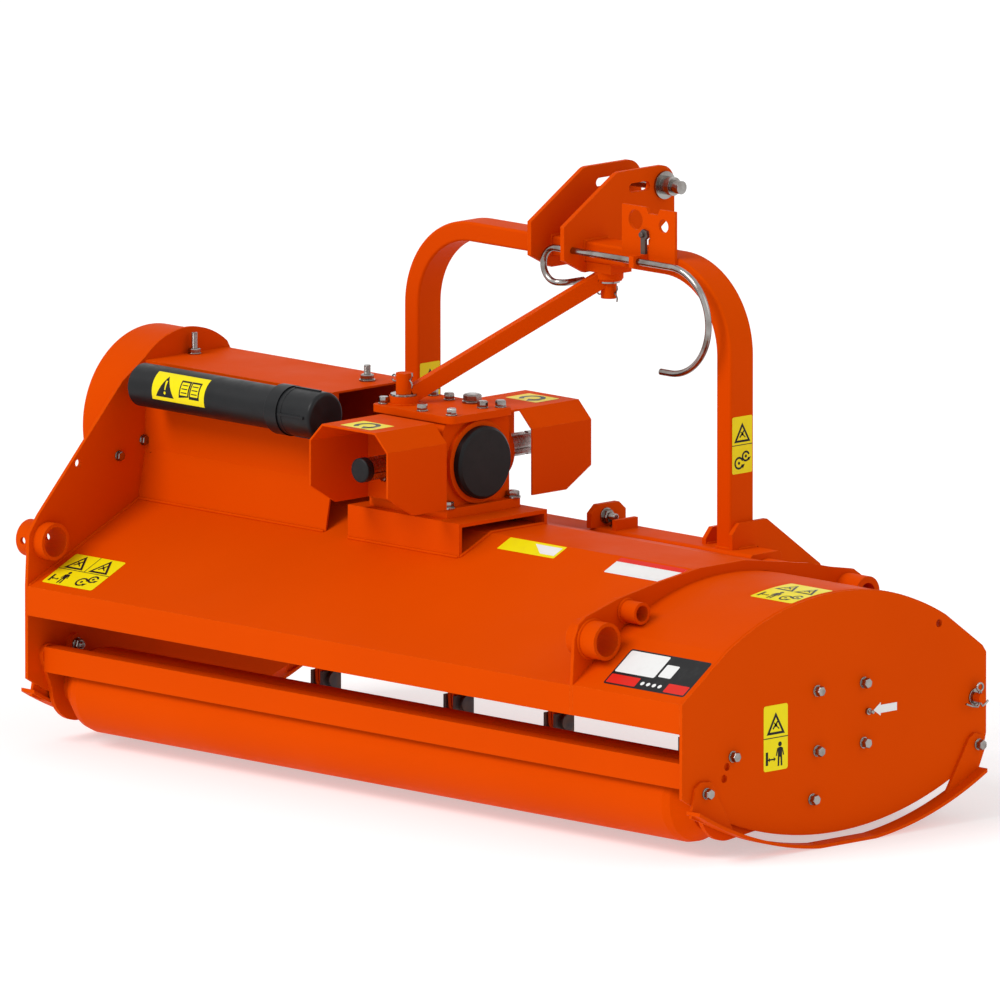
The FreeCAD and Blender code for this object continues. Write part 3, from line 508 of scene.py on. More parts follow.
@dataclass(frozen=True)
class Palette:
    """All finishes of the machine: one for each slot, and the films in the order of Ink."""

    slots: dict[Slot, Material]
    films: list[Material]

    @classmethod
    def mixed(cls) -> "Palette":
        """Mixes every finish once.

        Returns:
            The palette.
        """
        finishes = {
            # orange coat: colour, random darker tone, and the lighter edge colour, which is part worn
            # paint and part painted highlight
            Slot.PAINT: Paint("orange_powder_coat", (0.70, 0.066, 0.0), (0.64, 0.057, 0.0),
                              (0.80, 0.12, 0.01)),
            Slot.PLASTIC: Moulded("black_moulded_plastic", (0.005, 0.0055, 0.0065),
                                  (0.014, 0.014, 0.015)),
            Slot.COVER: Moulded("black_gearbox_cover", (0.006, 0.006, 0.0065),
                                (0.012, 0.011, 0.011), 0.45, 300.0, 0.2),
            Slot.RUBBER: Moulded("black_cap_rubber", (0.006, 0.006, 0.007), (0.02, 0.02, 0.02), 0.55),
            Slot.ZINC: Metal("zinc_plated_steel", (0.34, 0.325, 0.31), (0.15, 0.115, 0.095), 0.17),
            Slot.SHAFT: Metal("machined_steel", (0.44, 0.43, 0.42), (0.22, 0.19, 0.17), 0.24,
                              (1, 8, 1)),
            Slot.DARK: Metal("forged_dark_steel", (0.085, 0.085, 0.09), (0.15, 0.10, 0.07), 0.48,
                             metallic=0.85),
        }
        films = [
            Film("yellow_film", (0.86, 0.72, 0.004), (0.80, 0.64, 0.01)),
            Film("black_film", (0.012, 0.012, 0.013), (0.03, 0.03, 0.03)),
            Film("white_film", (0.80, 0.80, 0.79), (0.72, 0.71, 0.69)),
            Film("red_film", (0.70, 0.02, 0.012), (0.60, 0.03, 0.02)),
        ]
        return cls({slot: finish.material() for slot, finish in finishes.items()},
                   [film.material() for film in films])

    def dress_frame(self) -> None:
        """Gives each CAD node the finish of its slot."""
        slots = {part["node"]: Slot(part["material_slot"]) for part in frame["record"]["subparts"]}
        for name, node in frame["nodes"].items():
            node.data.materials.clear()
            node.data.materials.append(self.slots[slots[name]])
            log.info("%s: finish %s", name, slots[name].value)


# ---- fasteners and welds ----
@dataclass
class Fasteners:
    """Screws, nuts and pins on one mesh."""

    datum: Datum
    pen: MeshPen = field(default_factory=MeshPen)
    pitch: float = 1.5
    pin_wire: float = 1.3

    def washer(self, origin: Vector, axis: Vector, radius: float, height: float) -> None:
        """Adds a flat washer with broken edges.

        Args:
            origin: middle of its seat.
            axis: unit direction away from the seat.
            radius: its radius in millimetres.
            height: its height in millimetres.
        """
        self.pen.lathe(origin - axis * 0.2 * MM, axis,
                       [(0, radius - 0.3), (0.5, radius), (height - 0.1, radius),
                        (height + 0.2, radius - 0.4)], 28)

    def hexagon(self, origin: Vector, axis: Vector, size: Hex, turn: float) -> Vector:
        """Adds a hexagon on its washer.

        Args:
            origin: point on the face.
            axis: unit direction away from the face.
            size: screw size.
            turn: turn of the hexagon in radians.

        Returns:
            The middle of its outer face.
        """
        flats, height, washer_radius, washer_height = size.value
        self.washer(origin, axis, washer_radius, washer_height)
        seat = origin + axis * washer_height * MM
        corner = flats / math.sqrt(3)
        self.pen.lathe(seat, axis, [(0, corner * 0.96), (0.08 * height, corner),
                                    (0.82 * height, corner), (height, corner * 0.88)], 6, turn)
        self.pen.lathe(seat + axis * height * 0.98 * MM, axis,
                       [(0, corner * 0.82), (0.05 * height, corner * 0.76)], 24)
        return seat + axis * height * MM

    def bolt(self, place: Point3, axis: Vector, size: Hex, turn: float = 0.3) -> None:
        """Adds a hexagon head, seen from outside, at drawing millimetres of a face."""
        self.hexagon(self.datum.at(*place), axis, size, turn)

    def nut(self, place: Point3, axis: Vector, size: Hex, turn: float, length: float) -> None:
        """Adds a nut with the threaded end of its bolt.

        Args:
            place: drawing millimetres of the point on the face.
            axis: unit direction away from the face.
            size: screw size.
            turn: turn of the hexagon in radians.
            length: how far the thread stands out, in millimetres.
        """
        top = self.hexagon(self.datum.at(*place), axis, size, turn)
        radius = size.value[0] * 0.3
        profile = [(-1, radius)]
        for step in range(max(int(length / self.pitch), 1)):
            profile += [(step * self.pitch, radius * 0.88), ((step + 0.5) * self.pitch, radius)]
        self.pen.lathe(top, axis, [*profile, (length, radius * 0.8)], 16)

    def split_pin(self, place: Point3, along: Vector, legs: Vector, length: float) -> None:
        """Adds a split pin through a bar: an eye on one side and two bent legs on the other.

        Args:
            place: drawing millimetres of the pin's middle.
            along: unit direction of the pin.
            legs: unit direction in which its legs spread.
            length: its length through the bar in millimetres.
        """
        centre, reach, eye = self.datum.at(*place), length / 2, 5.0
        angles = [step * math.pi / 8 for step in range(-7, 8)]
        paths = [[(eye * math.cos(t) - reach - eye, eye * math.sin(t)) for t in angles]]
        paths += [[(-reach, 0), (reach * 0.75, 0), (reach, side * 2), (reach + 3, side * 7),
                   (reach + 2, side * 12)] for side in (-1, 1)]
        for path in paths:
            self.pen.tube([centre + (along * a + legs * b) * MM for a, b in path], self.pin_wire)


@dataclass
class Welds:
    """Fillet welds with ripples, painted over."""

    datum: Datum
    pen: MeshPen = field(default_factory=MeshPen)
    throat: float = 2.6
    ripple: float = 2.4

    def bead(self, corners: Sequence[Point3], step: float | None = None) -> None:
        """Welds along a run.

        Args:
            corners: points of the run in drawing millimetres.
            step: length of one ripple in millimetres, where it is not the usual one.
        """
        points = [self.datum.at(*corner) for corner in corners]
        path: list[Vector] = []
        for start, stop in zip(points, points[1:]):
            count = max(int((stop - start).length / ((step or self.ripple) * MM)), 2)
            path += [start.lerp(stop, index / count) for index in range(count)]
        path.append(points[-1])
        radii = [self.throat * (1.0 if index % 2 else 0.86) for index in range(len(path))]
        radii[0] = radii[-1] = self.throat * 0.5
        self.pen.tube(path, radii, 7)

    def ring(self, place: Point3, radius: float) -> None:
        """Welds all round a tube that stands on an end plate.

        Args:
            place: drawing millimetres of the tube's middle on the plate.
            radius: radius of the weld in millimetres.
        """
        x, y, z = place
        count = max(int(2 * math.pi * radius / self.ripple), 24)
        angles = [2 * math.pi * index / count for index in range(count + 1)]
        self.bead([(x, y + radius * math.cos(t), z + radius * math.sin(t)) for t in angles], 3.0)


# ---- stickers ----
@dataclass(frozen=True)
class Flat:
    """Flat face: a corner and two directions."""

    corner: Vector
    right: Vector
    up: Vector
    strip: float = math.inf

    def at(self, a: float, b: float, lift: float) -> Vector:
        """Point for millimetres right and up, lifted off the face."""
        return self.corner + (self.right * a + self.up * b + self.right.cross(self.up) * lift) * MM


@dataclass(frozen=True)
class Round:
    """Cylindrical face, which films follow in strips: right runs along its axis, up runs round it."""

    centre: Vector
    right: Vector
    out: Vector
    radius: float
    strip: float

    def at(self, a: float, b: float, lift: float) -> Vector:
        """Finds a point on or over the face.

        Args:
            a: millimetres along the axis.
            b: millimetres round the face.
            lift: millimetres off the face.

        Returns:
            The point.
        """
        angle = b / self.radius
        arm = self.out * math.cos(angle) + self.out.cross(self.right) * math.sin(angle)
        return self.centre + (self.right * a + arm * (self.radius + lift)) * MM


def rect(a: float, b: float, wide: float, tall: float, corner: float = 0.0) -> list[Point2]:
    """Outlines a rectangle.

    Args:
        a: its left edge.
        b: its lower edge.
        wide: its width.
        tall: its height.
        corner: radius of its corners.

    Returns:
        The outline.
    """
    ends = ((a + wide, b, -1, 1), (a + wide, b + tall, -1, -1), (a, b + tall, 1, -1), (a, b, 1, 1))
    points = []
    for index, (ca, cb, inwards, upwards) in enumerate(ends):
        for step in range(5 if corner > 0 else 1):
            t = math.radians(90 * index - 90 + 22.5 * step)
            points.append((ca + corner * (inwards + math.cos(t)), cb + corner * (upwards + math.sin(t))))
    return points


def bar(start: Point2, stop: Point2, width: float) -> list[Point2]:
    """Outlines a straight stroke.

    Args:
        start: its first end.
        stop: its second end.
        width: its width.

    Returns:
        The outline.
    """
    (a, b), (c, d) = start, stop
    run = math.dist(start, stop)
    da, db = (d - b) / run * width / 2, (a - c) / run * width / 2
    return [(a + da, b + db), (a - da, b - db), (c - da, d - db), (c + da, d + db)]


def disc(a: float, b: float, radius: float) -> list[Point2]:
    """Outlines a dot round a middle (a, b)."""
    angles = [math.pi * index / 10 for index in range(20)]
    return [(a + radius * math.cos(t), b + radius * math.sin(t)) for t in angles]


def arc(a: float, b: float, radius: float, width: float, start: float, stop: float) -> list[list[Point2]]:
    """Outlines a curved stroke round a middle (a, b), from one angle to another in degrees.

    Args:
        a: the middle, to the right.
        b: the middle, upwards.
        radius: radius of its middle line.
        width: its width.
        start: first angle.
        stop: last angle.

    Returns:
        The outlines of its parts.
    """
    steps = 14
    angles = [math.radians(start + (stop - start) * index / steps) for index in range(steps + 1)]
    inner, outer = ([(a + r * math.cos(t), b + r * math.sin(t)) for t in angles]
                    for r in (radius - width / 2, radius + width / 2))
    return [[inner[k], outer[k], outer[k + 1], inner[k + 1]] for k in range(steps)]


class Pictogram(Enum):
    """Generic pictograms in a cell of size 1: the outlines of each ink and level."""

    WARNING = (
        (Ink.BLACK, 1, [[(0, 0), (1, 0), (0.5, 0.87)]]),
        (Ink.YELLOW, 2, [[(0.175, 0.1), (0.825, 0.1), (0.5, 0.67)]]),
        (Ink.BLACK, 3, [bar((0.34, 0.22), (0.62, 0.52), 0.07), bar((0.4, 0.46), (0.68, 0.2), 0.05),
                        disc(0.5, 0.36, 0.07)]))
    BYSTANDER = ((Ink.BLACK, 1, [
        disc(0.75, 0.88, 0.1), rect(0.63, 0.36, 0.24, 0.4, 0.06),
        bar((0.68, 0.4), (0.66, 0), 0.09), bar((0.62, 0.72), (0.55, 0.42), 0.06),
        bar((0.82, 0.4), (0.84, 0), 0.09), bar((0.88, 0.72), (0.95, 0.42), 0.06),
        bar((0.12, 0.3), (0.46, 0.3), 0.06), [(0.06, 0.3), (0.18, 0.39), (0.18, 0.21)],
        [(0.52, 0.3), (0.4, 0.39), (0.4, 0.21)], bar((0.02, 0.08), (0.02, 0.62), 0.13)]),)
    BOOK = (
        (Ink.BLACK, 1, [[(0, 0), (0.48, 0.06), (0.48, 0.62), (0, 0.62)], rect(0.5, 0, 0.48, 0.62)]),
        (Ink.YELLOW, 2, [rect(left, 0.1, 0.36, 0.45) for left in (0.06, 0.56)]),
        (Ink.BLACK, 3, [rect(left, low, 0.28, 0.035) for left in (0.1, 0.6) for low in (0.17, 0.3, 0.43)]))
    GEARS = ((Ink.BLACK, 1, [
        *arc(0.3, 0.35, 0.24, 0.09, 20, 330), disc(0.3, 0.35, 0.07),
        [(0.432, 0.266), (0.66, 0.29), (0.54, 0.086)],
        *arc(0.72, 0.62, 0.2, 0.09, 20, 330), disc(0.72, 0.62, 0.07),
        [(0.83, 0.55), (1.02, 0.57), (0.92, 0.4)]]),)


@dataclass
class Sticker:
    """Blank film with generic pictograms, drawn in millimetres from its lower left corner.

    Each shape has an ink and a level, which is its layer counted up from the film.
    """

    name: str
    place: Flat | Round
    width: float
    height: float
    shapes: list[tuple[list[Point2], Ink, int]] = field(default_factory=list)

    def poly(self, outline: list[Point2], ink: Ink = Ink.BLACK, level: int = 1) -> None:
        """Adds a filled outline."""
        self.shapes.append((outline, ink, level))

    def draw(self, picture: Pictogram, a: float, b: float, size: float) -> None:
        """Draws a pictogram.

        Args:
            picture: the pictogram.
            a: left edge of its cell.
            b: lower edge of its cell.
            size: size of its cell.
        """
        for ink, level, outlines in picture.value:
            for outline in outlines:
                self.poly([(a + size * u, b + size * v) for u, v in outline], ink, level)

    def lay(self, palette: Palette) -> None:
        """Cuts all shapes in strips that follow the face, and makes the piece.

        Args:
            palette: the machine's finishes.
        """
        pen = MeshPen()
        for outline, ink, level in self.shapes:
            sheet = bmesh.new()
            sheet.faces.new([sheet.verts.new((a, b, 0)) for a, b in outline])
            sheet.normal_update()
            if any(face.normal.z < 0 for face in sheet.faces):
                bmesh.ops.reverse_faces(sheet, faces=sheet.faces[:])
            low, high = min(b for _, b in outline), max(b for _, b in outline)
            strip = self.place.strip
            for index in range(math.floor(low / strip) + 1, math.ceil(high / strip)):
                bmesh.ops.bisect_plane(sheet, geom=sheet.verts[:] + sheet.edges[:] + sheet.faces[:],
                                       plane_co=(0, index * strip, 0), plane_no=(0, 1, 0))
            sheet.verts.index_update()
            pen.add([self.place.at(vert.co.x, vert.co.y, 0.25 + 0.12 * level) for vert in sheet.verts],
                    [[vert.index for vert in face.verts] for face in sheet.faces], ink.value)
            sheet.free()
        pen.build(self.name, palette.films)

    def stick(self, palette: Palette, ground: Ink = Ink.YELLOW, corner: float = 4.0) -> None:
        """Lays a film under its shapes and makes the piece.

        Args:
            palette: the machine's finishes.
            ground: the film's ink.
            corner: radius of the film's corners.
        """
        drawn, self.shapes = self.shapes, []
        self.poly(rect(0, 0, self.width, self.height, corner), ground, 0)
        self.shapes += drawn
        self.lay(palette)


# ---- sub-assemblies ----
@dataclass
class Fittings:
    """What every sub-assembly needs."""

    datum: Datum
    palette: Palette

    def piece(self, name: str, pen: MeshPen, slot: Slot = Slot.ZINC, smooth: float = 40.0,
              body: str = BODY) -> bpy.types.Object:
        """Makes a mesh in the finish of a slot, riding on a body."""
        return pen.build(name, [self.palette.slots[slot]], smooth, body)

    def screws(self, name: str, screws: Fasteners, body: str = BODY) -> None:
        """Makes one mesh of a group of fasteners."""
        self.piece(name, screws.pen, Slot.ZINC, 30.0, body)

    def seams(self, name: str, welds: Welds) -> None:
        """Makes one mesh of a group of welds."""
        self.piece(name, welds.pen, Slot.PAINT, 60.0)


@dataclass
class EndPlates(Fittings):
    """Bolts of bearings, roller arms and skids on both end plates, and the right plate's stickers."""

    face: float = 698.0
    tab_face: float = 703.0
    arm_face: float = 684.0
    bolts: tuple[Point2, ...] = ((279, 231), (376, 231), (279, 141), (376, 141), (104, 155), (269, 70))
    behind_guard: int = 4
    tab_bolts: tuple[Point2, ...] = ((45, 108), (611, 109))
    arm_nut: Point2 = (94.0, 146.0)
    nipple: Point2 = (384.0, 187.0)
    flap_rod: Point2 = (608.0, 180.0)
    clip_x: float = 709.0
    clip_wire: float = 1.7

    def make(self) -> None:
        """Makes every piece."""
        for side, axis, name in ((1, RIGHT, "right"), (-1, LEFT, "left")):
            screws = Fasteners(self.datum)
            for index, (y, z) in enumerate(self.bolts):
                if side > 0 or index >= self.behind_guard:
                    screws.bolt((side * self.face, y, z), axis, Hex.M8_TALL, 0.25 * index)
            for y, z in self.tab_bolts:
                screws.bolt((side * self.tab_face, y, z), axis, Hex.M8_TALL, 0.5)
            screws.nut((side * self.arm_face, *self.arm_nut), -axis, Hex.M10, 0.2, 5.0)
            self.screws(f"end_plate_bolts_{name}", screws)
        self.grease_point()
        self.rod_clip()
        self.stickers()

    def grease_point(self) -> None:
        """Makes the grease nipple of the rotor bearing."""
        pen = MeshPen()
        pen.lathe(self.datum.at(self.face, *self.nipple), RIGHT,
                  [(0, 5), (4, 5), (4.2, 3.2), (7, 3), (8, 2.1), (9.5, 2.1), (11, 3.2), (12.6, 2.4)], 16)
        self.piece("grease_nipple", pen)

    def rod_clip(self) -> None:
        """Makes the spring cotter that holds the flap rod, with its eye above, and the washer."""
        pen = MeshPen()
        centre = self.datum.at(self.clip_x, *self.flap_rod)
        angles = [2 * math.pi * index / 18 for index in range(19)]
        paths = [[(6 * math.sin(t), 16 - 6 * math.cos(t)) for t in angles]]
        paths += [[(side * 1.5, 10.2), (side * 1.5, -9), (side * 5, -13), (side * 14 - 3, -10.5),
                   (side * 23 - 6, -6)] for side in (-1, 1)]
        for path in paths:
            pen.tube([centre + Vector((0, a, b)) * MM for a, b in path], self.clip_wire)
        self.piece("flap_rod_clip", pen)
        washer = Fasteners(self.datum)
        washer.washer(self.datum.at(self.face + 0.2, *self.flap_rod), RIGHT, 13.0, 2.4)
        self.screws("flap_rod_washer", washer)

    def stickers(self) -> None:
        """Makes the warning label and the blank arrow on the right end plate."""
        label = Sticker("label_end_plate", Flat(self.datum.at(self.face, 168, 123), FORE, UP), 50, 98)
        label.draw(Pictogram.WARNING, 6, 54, 38)
        label.poly(rect(0, 48.4, 50, 1.4))
        label.draw(Pictogram.BYSTANDER, 6, 6, 37)
        label.stick(self.palette)
        arrow = Sticker("arrow_to_nipple", Flat(self.datum.at(self.face, 396, 175), FORE, UP), 49, 24)
        arrow.poly([(0, 12), (15, 22), (15, 18), (49, 18), (49, 6), (15, 6), (15, 2)], Ink.WHITE)
        arrow.lay(self.palette)


@dataclass
class Deck(Fittings):
    """Welds and stickers of the deck, its rib and the end hood."""

    ridge: tuple[Point2, ...] = ((0.0, 244.0), (290.0, 377.0), (400.0, 377.0), (534.0, 346.6))
    rib_x: float = 462.0
    left_x: float = -691.0
    foot_runs: tuple[tuple[Point3, ...], ...] = (
        ((-690.0, 228.6, 350.2), (-292.0, 228.6, 350.2)),
        ((-236.0, 224.2, 348.2), (-2.0, 224.2, 348.2)),
        ((-238.0, 226.0, 349.0), (-238.0, 290.0, 378.0), (-238.0, 400.0, 378.0)),
        ((1.0, 226.0, 349.0), (1.0, 290.0, 378.0), (1.0, 400.0, 378.0)))
    sockets: tuple[tuple[Point3, float], ...] = (
        ((470.0, 39, 309), 28.6), ((470.0, 111, 342), 17.2), ((-699.0, 39, 309), 28.6))
    crown: Point3 = (600.0, 320.0, -77.0)
    crown_radius: float = 450.0

    def make(self) -> None:
        """Makes every piece."""
        welds = Welds(self.datum)
        for x in (self.rib_x, self.left_x):
            welds.bead([(x, y + 2, z + 1) for y, z in self.ridge])
        for run in self.foot_runs:
            welds.bead(run)
        self.seams("deck_welds", welds)

        tubes = Welds(self.datum)
        for place, radius in self.sockets:
            tubes.ring(place, radius)
        self.seams("socket_welds", tubes)

        edges = Welds(self.datum, throat=1.8)
        _, mid, low = self.crown
        arch = [(y, low + math.sqrt(self.crown_radius ** 2 - (y - mid) ** 2)) for y in range(93, 548, 14)]
        edges.bead([(692.0, y, z - 0.8) for y, z in [(0.8, 245.0), *arch, (624.0, 256.0)]], 3.0)
        self.seams("hood_weld", edges)
        self.slope_stickers()
        self.hood_stickers()

    def slope(self, x: float, y: float) -> Flat:
        """Finds the face of the deck's rear slope.

        Args:
            x: drawing millimetres of its corner, to the right.
            y: drawing millimetres of its corner, forward.

        Returns:
            The face.
        """
        (_, low), (run, high) = self.ridge[:2]
        rise = (high - low) / run
        return Flat(self.datum.at(x, y, low + y * rise), RIGHT, Vector((0, 1, rise)).normalized())

    def slope_stickers(self) -> None:
        """Makes the warning label and the blank plates on the deck's rear slope."""
        label = Sticker("label_deck_left", self.slope(-678, 15), 108, 80)
        for column in (7, 60):
            label.draw(Pictogram.WARNING, column, 43, 40)
        label.poly(rect(0, 39.3, 108, 1.4))
        label.poly(rect(53.3, 39.3, 1.4, 40.7))
        label.draw(Pictogram.BYSTANDER, 8, 4, 32)
        label.draw(Pictogram.GEARS, 60, 3, 38)
        label.stick(self.palette)

        plate = Sticker("plate_deck", self.slope(45, 259), 120, 32)
        plate.poly([(58, 27), (115, 27), (115, 6), (86, 6)], Ink.WHITE)
        plate.stick(self.palette, corner=2.0)

        blank = Sticker("plate_slope", self.slope(280, 250), 140, 40)
        blank.poly(rect(0, 30, 140, 10), Ink.RED)
        blank.poly(rect(4, 4, 132, 22), Ink.WHITE)
        blank.stick(self.palette, Ink.WHITE, 2.0)

    def hood_stickers(self) -> None:
        """Makes the blank plate at the hood's rear edge and the warning label on its top."""
        rise = Vector((0, 93.0, 66.5)).normalized()
        model = Sticker("plate_hood_rear", Flat(self.datum.at(520, 12, 253.6), RIGHT, rise), 168, 74)
        model.poly(rect(3, 26, 82, 45, 3), Ink.WHITE)
        model.poly(rect(3, 3, 60, 18, 2), Ink.RED)
        for a in (73, 85, 97, 109):
            model.poly(disc(a, 12, 3.6), Ink.WHITE)
        model.poly(rect(122, 3, 43, 18, 2), Ink.RED)
        model.poly(rect(90, 30, 26, 26, 2), Ink.WHITE)
        model.stick(self.palette, Ink.BLACK)

        out = Vector((0, -0.187, 0.982)).normalized()
        top = Sticker("label_hood_top",
                      Round(self.datum.at(*self.crown), RIGHT, out, self.crown_radius, 14.0), 88, 88)
        for column in (6, 46):
            top.draw(Pictogram.WARNING, column, 46, 38)
        top.draw(Pictogram.BYSTANDER, 8, 5, 34)
        top.draw(Pictogram.GEARS, 48, 4, 36)
        top.stick(self.palette)


@dataclass
class DriveFittings(Fittings):
    """Screws and stickers of the gearbox, its guards, the shaft cover and the document tube."""

    shaft_x: float = -123.0
    shaft_z: float = 474.0
    lid_z: float = 549.0
    lid_screws: tuple[Point2, ...] = ((-204, 268), (-204, 370), (-60, 268), (-60, 370), (-118, 264),
                                      (-160, 361), (-74, 346))
    plug: Point2 = (-118.0, 368.0)
    foot_screws: tuple[Point2, ...] = ((-201, 251), (-201, 387), (-52, 251), (-52, 387))
    foot_z: Point2 = (412.0, 392.0)
    guard_half: float = 83.5
    guard_top: Point2 = (56.5, 540.0)
    guard_shoulder: float = 513.0
    guard_low: float = 413.0
    guard_run: Point2 = (416.0, 539.0)
    guard_chamfer: Point2 = (52.0, 444.0)
    guard_tongue: float = 380.0
    guard_sheet: float = 3.0
    tube: Point2 = (205.0, 530.0)
    collars: tuple[Point3, ...] = ((-362.0, 7.0, 34.6), (-338.0, 5.0, 36.8), (-325.0, 3.0, 36.6))
    belt_guard_x: float = -778.0
    belt_guard_screws: tuple[Point2, ...] = ((331, 566), (236, 400), (426, 400), (328, 120))

    def make(self) -> None:
        """Makes every piece."""
        self.gearbox()
        self.shaft_cap()
        self.guards()
        self.front_guard()
        self.covers()
        self.document_tube()

    def gearbox(self) -> None:
        """Makes lid screws, plug and foot bolts."""
        lid = Fasteners(self.datum)
        for index, (x, y) in enumerate(self.lid_screws):
            lid.bolt((x, y, self.lid_z), UP, Hex.M8_TALL, 0.4 * index)
        lid.bolt((*self.plug, self.lid_z), UP, Hex.M16, 0.2)
        self.screws("gearbox_lid_screws", lid)

        feet = Fasteners(self.datum)
        for x, y in self.foot_screws:
            feet.bolt((x, y, self.foot_z[0]), UP, Hex.M12, 0.35)
            feet.nut((x, y, self.foot_z[1]), DOWN, Hex.M12, 0.35, 4.0)
        self.screws("gearbox_foot_bolts", feet)

    def shaft_cap(self) -> None:
        """Makes the short cap on the rear stub, which leaves most of its splines in view."""
        pen = MeshPen()
        pen.lathe(self.datum.at(self.shaft_x, 138.0, self.shaft_z), FORE,
                  [(0, 15.6), (0.6, 17.2), (1.8, 18.4), (13, 18.7), (14, 18.2)], 48)
        cap = self.piece("rear_shaft_cap", pen, Slot.RUBBER, body="power_shaft")
        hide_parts("pto_cap")

    def guards(self) -> None:
        """Makes the rear guard's screws and the labels that tell which way the shaft turns."""
        screws = Fasteners(self.datum)
        for dx in (-44.0, 44.0):
            for dz in (-26.0, 40.0):
                screws.bolt((self.shaft_x + dx, 235.0, self.shaft_z + dz), AFT, Hex.M8)
        self.screws("guard_screws_rear", screws)
        for name, y in (("rear", 128.0), ("front", 471.0)):
            place = Flat(self.datum.at(-154, y, self.guard_top[1]), RIGHT, FORE)
            label = Sticker(f"label_guard_{name}", place, 66, 50)
            for outline in (*arc(33, 25, 16.5, 8.0, -45, 240), [(58, 19), (34, 16), (44, 1)]):
                label.poly(outline)
            label.stick(self.palette, corner=3.0)

    def front_guard(self) -> None:
        """Makes the folded hood over the front stub, open behind and hung from the lid by its top."""
        half, (flat, top), (back, mouth) = self.guard_half, self.guard_top, self.guard_run
        chamfer, edge = self.guard_chamfer
        line = [(-half, self.guard_low), (-half, self.guard_shoulder), (-flat, top), (flat, top),
                (half, self.guard_shoulder), (half, self.guard_low)]
        pen = MeshPen()
        for index, ((x0, z0), (x1, z1)) in enumerate(zip(line, line[1:])):
            rear = self.guard_tongue if index == 2 else back
            outline = [(x0, rear, z0), (x0, mouth, z0), (x1, mouth, z1), (x1, rear, z1)]
            if index == 0:
                outline[1:2] = [(x0, mouth - chamfer, z0), (x0, mouth, edge)]
            if index == 4:
                outline[2:3] = [(x1, mouth, edge), (x1, mouth - chamfer, z1)]
            inwards = FORE.cross(Vector((x1 - x0, 0, z1 - z0))).normalized()
            pen.slab([self.datum.at(self.shaft_x + x, y, z) for x, y, z in outline], inwards,
                     self.guard_sheet)
        guard = self.piece("open_guard_front", pen, Slot.PAINT, 30.0)
        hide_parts("pto_guard_front")

    def covers(self) -> None:
        """Makes the screws on the shaft cover, the plate behind it and the belt guard."""
        screws = Fasteners(self.datum)
        screws.nut((-679.0, 334, 558), UP, Hex.M10, 0.2, 24.0)
        screws.nut((-327.0, 353, 558), UP, Hex.M12, 0.5, 14.0)
        for y, z in ((240, 437), (189, 419)):
            screws.bolt((-692.0, y, z), RIGHT, Hex.M8, 0.4)
        screws.bolt((-310.0, 244.0, 440.0), AFT, Hex.M8, 0.2)
        self.screws("shaft_cover_screws", screws)
        guard = Fasteners(self.datum)
        for y, z in self.belt_guard_screws:
            guard.bolt((self.belt_guard_x, y, z), LEFT, Hex.M8, 0.2)
        guard.bolt((self.belt_guard_x, 331, 454), LEFT, Hex.M10, 0.2)
        self.screws("belt_guard_screws", guard)

    def document_tube(self) -> None:
        """Makes collars and label of the document tube."""
        pen = MeshPen()
        for x, wide, radius in self.collars:
            pen.lathe(self.datum.at(x, *self.tube), RIGHT,
                      [(0, radius - 1.6), (0.8, radius), (wide - 0.8, radius), (wide, radius - 1.6)], 48)
        self.piece("manual_tube_collars", pen, Slot.PLASTIC)
        out = Vector((0, -0.94, 0.34)).normalized()
        label = Sticker("label_manual_tube",
                        Round(self.datum.at(-603, *self.tube), RIGHT, out, 32.6, 5.0), 112, 46)
        label.poly([(9, -17), (47, -17), (28, 16)])
        label.poly([(26, 8), (30, 8), (29, -6), (27, -6)], Ink.YELLOW, 2)
        label.poly(disc(28, -10.5, 2.2), Ink.YELLOW, 2)
        label.draw(Pictogram.BOOK, 58, -14, 44)
        label.poly(rect(0, -23, 112, 46), Ink.YELLOW, 0)
        label.lay(self.palette)


